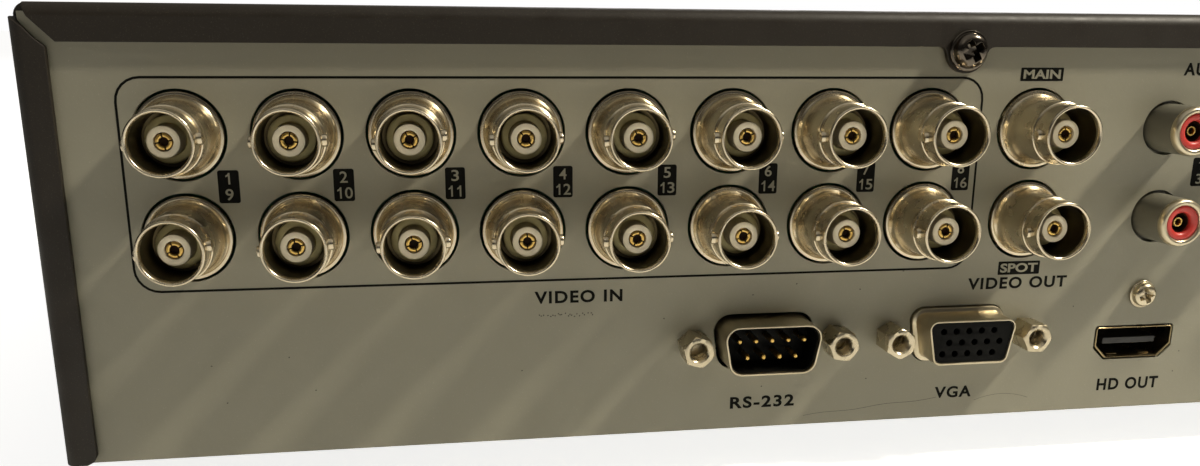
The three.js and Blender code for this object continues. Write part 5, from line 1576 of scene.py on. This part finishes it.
face = rounded(rectangle(CASE_WIDTH / 2, CONTROL_B, CASE_WIDTH, CASE_HEIGHT), 3)
openings = [
    slab(
        (BEZEL_WALL, BEZEL_WALL, -1),
        (CASE_WIDTH - BEZEL_WALL, CASE_HEIGHT - BEZEL_WALL, BEZEL_DEEP - BEZEL_WALL),
    ),
    through(rectangle(WINDOW_A, CONTROL_B, WINDOW_SIZE[0] + 0.6, WINDOW_SIZE[1] + 0.6)),
    key_hole(menu_at), key_hole(record_at),
    through(circle(dial_at.x, CONTROL_B, DIAL_RADIUS + 0.5)),
    through(circle(power_at.x, power_at.y, POWER_RADIUS + 0.3)),
    through(rectangle(front_usb_at.x, front_usb_at.y, 13.9, 6.6)),
]
openings += [
    slab((8, b - 0.6, BEZEL_DEEP - 0.8), (CASE_WIDTH - 8, b + 0.6, BEZEL_DEEP + 1))
    for b in (7.0, CASE_HEIGHT - 7.0)
]
bezel = eased(carved(prism(face, BEZEL_BACK, BEZEL_DEEP), *openings), 0.35)
piece("bezel", bezel, BEZEL_BLACK, ["front_bezel"], board=FRONT)

# %% Window with its channel lamps
WINDOW_SMOKE = moulded("smoked_window", (0.010, 0.010, 0.012), 0.08, 0.01, 0.000002)
set_shader(WINDOW_SMOKE, "Coat Weight", 0.6)
window_low, _ = board_box("status_window", FRONT)
half_a, half_b = WINDOW_SIZE[0] / 2, WINDOW_SIZE[1] / 2
rim_a, rim_b = half_a + 2, half_b + 2
pane = slab((WINDOW_A - half_a, CONTROL_B - half_b, window_low.z + 0.6),
            (WINDOW_A + half_a, CONTROL_B + half_b, BEZEL_DEEP))
rim = slab((WINDOW_A - rim_a, CONTROL_B - rim_b, window_low.z),
           (WINDOW_A + rim_a, CONTROL_B + rim_b, window_low.z + 1.4))
window = together(eased(pane, 0.5, 3), eased(rim, 0.2))
piece("window", window, WINDOW_SMOKE, ["status_window"], board=FRONT)
LAMP_PROFILE = [
    (0, BEZEL_DEEP - 0.3), (1.0, BEZEL_DEEP - 0.3), (1.0, BEZEL_DEEP + 0.02), (0.7, BEZEL_DEEP + 0.12),
    (0, BEZEL_DEEP + 0.15),
]
LAMP_FIRST, LAMP_PITCH, LAMP_ROW = (-35, 5.4), 10, 9.6
lamp_places = [
    (WINDOW_A + LAMP_FIRST[0] + LAMP_PITCH * (k % 8), CONTROL_B + LAMP_FIRST[1] - LAMP_ROW * (k // 8), 0)
    for k in range(16)
]
turned_set("channel_lamps", LAMP_PROFILE, 20, lamp_places, GREEN_LENS, board=FRONT)


# %% Printing on the bezel
def front_words(words, centre, base, cap, width, face_w):
    mesh = lettering(words, centre - width / 2, centre + width / 2, base, cap, 0.012)
    mesh.transform(Matrix.Translation((0, 0, face_w)))
    return mesh


front_prints = [
    front_words(str(k + 1), place[0], place[1] - 3.4, 1.5, 0.9 * len(str(k + 1)), BEZEL_DEEP)
    for k, place in enumerate(lamp_places)
]
front_prints += [
    front_words("MENU", menu_at.x, CONTROL_B - 8.6, 2.2, 8.4, BEZEL_DEEP),
    front_words("REC", record_at.x, CONTROL_B - 8.6, 2.2, 6.2, BEZEL_DEEP),
    front_words("POWER", power_at.x, power_at.y + 8.2, 2.2, 10.4, BEZEL_DEEP),
    front_words("16 CHANNEL VIDEO RECORDER", 172, CONTROL_B - 1.2, 2.4, 62, BEZEL_DEEP),
]
piece("front_printing", together(*front_prints), AUDIO_WHITE, board=FRONT)

# %% Menu and record keys
SKIRT_HALF, STEM_HALF = (9.2, 5.2), 1.5


def key_piece(name, node, at, body):
    """A sprung key: a crowned cap, a skirt that keeps it in, and a stem to its switch."""
    cap = rounded(rectangle(at.x, CONTROL_B, *KEY_SIZE), 1.8, 5)
    low, _ = board_box(node, FRONT)
    inner = BEZEL_DEEP - BEZEL_WALL
    crown = lofted([
        (cap, inner - 0.5), (cap, KEY_FRONT - 0.5),
        (rounded(rectangle(at.x, CONTROL_B, KEY_SIZE[0] - 0.5, KEY_SIZE[1] - 0.5), 1.6, 5), KEY_FRONT - 0.12),
        (rounded(rectangle(at.x, CONTROL_B, KEY_SIZE[0] - 2.2, KEY_SIZE[1] - 2.2), 1.2, 5), KEY_FRONT),
        (rounded(rectangle(at.x, CONTROL_B, KEY_SIZE[0] - 6, KEY_SIZE[1] - 5.2), 0.8, 5), KEY_FRONT - 0.12),
    ], capped=True)
    a, b = SKIRT_HALF
    skirt = slab((at.x - a, CONTROL_B - b, inner - 2.3), (at.x + a, CONTROL_B + b, inner - 0.35))
    stem_low = (at.x - STEM_HALF, CONTROL_B - STEM_HALF, low.z)
    stem = slab(stem_low, (at.x + STEM_HALF, CONTROL_B + STEM_HALF, inner - 1))
    piece(name, together(crown, skirt, stem), SILVER_PLASTIC, [node], FRONT, body)


key_piece("menu_cap", "menu_button", menu_at, "menu_key")
key_piece("record_cap", "record_button", record_at, "record_key")
bars = together(*[
    slab((menu_at.x - 1.8, CONTROL_B + rise - 0.22, KEY_FRONT - 0.2),
         (menu_at.x + 1.8, CONTROL_B + rise + 0.22, KEY_FRONT - 0.06)) for rise in (-0.95, 0, 0.95)
])
piece("menu_mark", bars, BEZEL_BLACK, board=FRONT, body="menu_key")
DOT_PROFILE = [(0, KEY_FRONT - 0.25), (1.3, KEY_FRONT - 0.25), (1.3, KEY_FRONT - 0.05), (0, KEY_FRONT - 0.02)]
dot = turned(DOT_PROFILE, 32, (record_at.x, CONTROL_B))
piece("record_mark", dot, AUDIO_RED, board=FRONT, body="record_key")

# %% Power key
power_low, _ = board_box("power_button", FRONT)
inner = BEZEL_DEEP - BEZEL_WALL
power_profile = [
    (0, power_low.z), (1.5, power_low.z), (1.5, inner - 2.3), (7.2, inner - 2.3), (7.2, inner - 0.3),
    (6, inner - 0.3), (6, 18.7), (5.75, 19.1), (5.3, 19.2), (4.6, 19.12), (2.5, 18.98), (0, 18.95),
]
power_cap = turned(power_profile, 56, (power_at.x, power_at.y))
piece("power_cap", power_cap, SILVER_PLASTIC, ["power_button"], FRONT, "power_key")
ring_turns = [math.radians(120 + 300 * k / 30) for k in range(31)]
ring_line = [(2.2 * math.cos(t), 2.2 * math.sin(t)) for t in ring_turns]
ring_line += [(1.75 * math.cos(t), 1.75 * math.sin(t)) for t in ring_turns[::-1]]
power_mark = together(
    prism([(x, y) for x, y in ring_line], -0.05, 0.06), slab((-0.24, 0.6, -0.05), (0.24, 2.6, 0.06)),
)
power_mark.transform(Matrix.Translation((power_at.x, power_at.y, 19.0)))
piece("power_mark", power_mark, BEZEL_BLACK, board=FRONT, body="power_key")

# %% Jog dial
dial_low, dial_high = board_box("jog_dial", FRONT)
dial_top = dial_high.z


def knurled(radius, steps=144):
    turns = [2 * math.pi * k / steps for k in range(steps)]
    reach = [radius - (0.35 if k % 3 == 0 else 0) for k in range(steps)]
    return [(dial_at.x + r * math.cos(t), CONTROL_B + r * math.sin(t)) for r, t in zip(reach, turns)]


def ring_at(radius):
    return circle(dial_at.x, CONTROL_B, radius, 144)


dial_sections = [
    (ring_at(3), dial_low.z), (ring_at(3), dial_top - 8), (ring_at(19.2), dial_top - 8),
    (knurled(20), dial_top - 7.6), (knurled(20), dial_top - 1.2), (ring_at(19.3), dial_top - 0.6),
    (ring_at(18.4), dial_top - 0.1), (ring_at(17.4), dial_top), (ring_at(16.4), dial_top - 0.15),
    (ring_at(15.6), dial_top - 0.7), (ring_at(8), dial_top - 0.95), (ring_at(1), dial_top - 1.0),
]
dimple = turned([(0, -4.5), (2.2, -4.1), (3.6, -3.1), (4.4, -1.6), (4.7, 0), (4.7, 2), (0, 2)], 40)
dimple.transform(Matrix.Translation((dial_at.x, CONTROL_B + 11, dial_top + 2.2)))
dial = carved(lofted(dial_sections, capped=True), dimple)
piece("dial_wheel", dial, SILVER_PLASTIC, ["jog_dial"], FRONT, "dial", crease=30)

# %% Front data port
front_row = (front_usb_at.x, front_usb_at.y)
front_shell = port_shell(front_usb_at, (13.2, 5.9), [(front_row, USB_OPENING)], BEZEL_DEEP)
piece("front_port_shell", front_shell, TIN, ["usb_front"], FRONT)
front_tongue, front_strips = port_tongue(front_row, USB_OPENING, BEZEL_DEEP)
piece("front_port_tongue", front_tongue, BLACK_PLASTIC, board=FRONT)
piece("front_port_contacts", front_strips, GOLD, board=FRONT)

# %% [markdown]
# ## What is inside
#
# The boards, drives, supply and harness show only through the vents, so the frame's own solids stay and are
# dressed. A board's solder mask is green with lighter tracks; what stands on it is picked out by its height
# above the board.

# %% Finishes for the inner pieces


def board_finish(name, board_top, chip_top):
    """Green solder mask with lighter tracks, black parts above it and bright metal above those."""
    mask = Finish(name, (0.012, 0.085, 0.030), 0.30)
    tracks = mask.tree.nodes.new("ShaderNodeTexBrick")
    tracks.inputs["Scale"].default_value = 160
    tracks.inputs["Mortar Size"].default_value = 0.035
    mask.tree.links.new(mask.place, tracks.inputs["Vector"])
    mask.clouded((0.03, 0.17, 0.06), tracks.outputs["Fac"], 0, 1, 0.4, 0.6)
    height = mask.tree.nodes.new("ShaderNodeSeparateXYZ")
    mask.tree.links.new(mask.place, height.inputs[0])
    mask.clouded((0.015, 0.015, 0.016), height.outputs["Z"], 0, 1, board_top + 0.0002, board_top + 0.0003)
    mask.clouded((0.45, 0.45, 0.46), height.outputs["Z"], 0, 1, chip_top, chip_top + 0.0002)
    mask.raised(mask.noise(0.0012, 2), 0.00002, 0.4)
    mask.dulled(mask.noise(0.004, 3), 0.26, 0.40)
    return mask.material


def dressed(node, material):
    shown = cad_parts[node]
    shown.data.materials.clear()
    shown.data.materials.append(material)
    print(f"{node}: {material.name}")


# %% Dress the inner pieces
main_low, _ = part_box("mainboard")
supply_low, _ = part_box("power_supply")
dressed("mainboard", board_finish("main_board", main_low.z + 0.0016, main_low.z + 0.0044))
dressed("power_supply", board_finish("supply_board", supply_low.z + 0.0016, supply_low.z + 0.030))
dressed("video_board", board_finish("video_board", 1.0, 2.0))
dressed("front_board", board_finish("front_board", 1.0, 2.0))
DRIVE_METAL = plated("drive_casting", (0.42, 0.42, 0.43), 0.38, (0.30, 0.30, 0.31), 0.02)
HARNESS = moulded("harness_sleeve", (0.025, 0.025, 0.028), 0.6, 0.0012, 0.00008)
dressed("hard_drive_1", DRIVE_METAL)
dressed("hard_drive_2", DRIVE_METAL)
dressed("power_harness", HARNESS)

# %% [markdown]
# ## Stage and light
#
# The recorder stands on a plain pale floor, which glows white only towards the lens. A warm key lamp with a
# narrow beam grazes the panel from high on the right, so every socket throws a soft streak down to the
# left. A dim fill opens the shadows, and a broad lamp on the far side lights the front. The sky is bright
# only overhead, which gives the nickel dark flanks to reflect; towards the lens it is plain white.

# %% Floor
FLOOR_Z = -0.0001
floor_corners = [(u, v, FLOOR_Z) for u, v in rectangle(0, 0, 40, 40)]
floor = bpy.data.objects.new("floor", mesh_of(floor_corners, [(0, 1, 2, 3)]))
floor_finish = Finish("pale_floor", (0.86, 0.86, 0.84), 0.7)
floor_finish.clouded((0.83, 0.83, 0.81), floor_finish.noise(0.4))
floor_finish.shader.inputs["Emission Color"].default_value = (1, 1, 1, 1)
towards_lens = floor_finish.tree.nodes.new("ShaderNodeLightPath").outputs["Is Camera Ray"]
glow = floor_finish.ranged(towards_lens, 0.19, 0.80, 0, 1)
floor_finish.tree.links.new(glow, floor_finish.shader.inputs["Emission Strength"])
floor.data.materials.append(floor_finish.material)
bpy.context.scene.collection.objects.link(floor)
print("floor at, m:", FLOOR_Z)

# %% Sky
SKY_LEVELS = [(0.0, 0.013), (0.50, 0.013), (0.70, 0.041), (1.0, 0.41)]
SKY_COLOUR = (1.0, 0.96, 0.88)


def studio_world():
    world = bpy.data.worlds.new("studio")
    world.use_nodes = True
    nodes, links = world.node_tree.nodes, world.node_tree.links
    direction = nodes.new("ShaderNodeTexCoord").outputs["Generated"]
    height = nodes.new("ShaderNodeSeparateXYZ")
    half = nodes.new("ShaderNodeMapRange")
    half.inputs["From Min"].default_value = -1.0
    ramp = nodes.new("ShaderNodeValToRGB")
    while len(ramp.color_ramp.elements) < len(SKY_LEVELS):
        ramp.color_ramp.elements.new(0.5)
    for stop, (place, level) in zip(ramp.color_ramp.elements, SKY_LEVELS):
        stop.position = place
        stop.color = (*[level * channel for channel in SKY_COLOUR], 1)
    seen = nodes.new("ShaderNodeLightPath")
    mix = nodes.new("ShaderNodeMix")
    mix.data_type = "RGBA"
    mix.inputs[7].default_value = (1, 1, 1, 1)
    links.new(direction, height.inputs[0])
    links.new(height.outputs["Z"], half.inputs["Value"])
    links.new(half.outputs["Result"], ramp.inputs["Fac"])
    links.new(ramp.outputs["Color"], mix.inputs[6])
    links.new(seen.outputs["Is Camera Ray"], mix.inputs[0])
    links.new(mix.outputs[2], nodes["Background"].inputs["Color"])
    return world


bpy.context.scene.world = studio_world()


# %% Lamps
def lamp(name, place, aim, size, watts, colour, beam=180):
    """A square area lamp at a place on the panel board, turned to another, with the spread of its beam."""
    light = bpy.data.lights.new(name, "AREA")
    light.size = size
    light.spread = math.radians(beam)
    light.energy = watts
    light.color = colour
    holder = bpy.data.objects.new(name, light)
    holder.matrix_world = look_from(place, aim, 0)
    bpy.context.scene.collection.objects.link(holder)
    print(f"{name} lamp: {watts} W")


lamp("key", (760, 680, 225), (140, -45, 0), 0.09, 1.65, (1.0, 0.93, 0.78), beam=70)
lamp("fill", (-150, 500, 420), (90, -45, 0), 0.35, 0.1, (1.0, 0.97, 0.88))
lamp("front", (800, 900, -1900), (222, -45, -390), 1.2, 18.0, (1.0, 0.98, 0.95))
bpy.context.scene.view_settings.view_transform = "Standard"
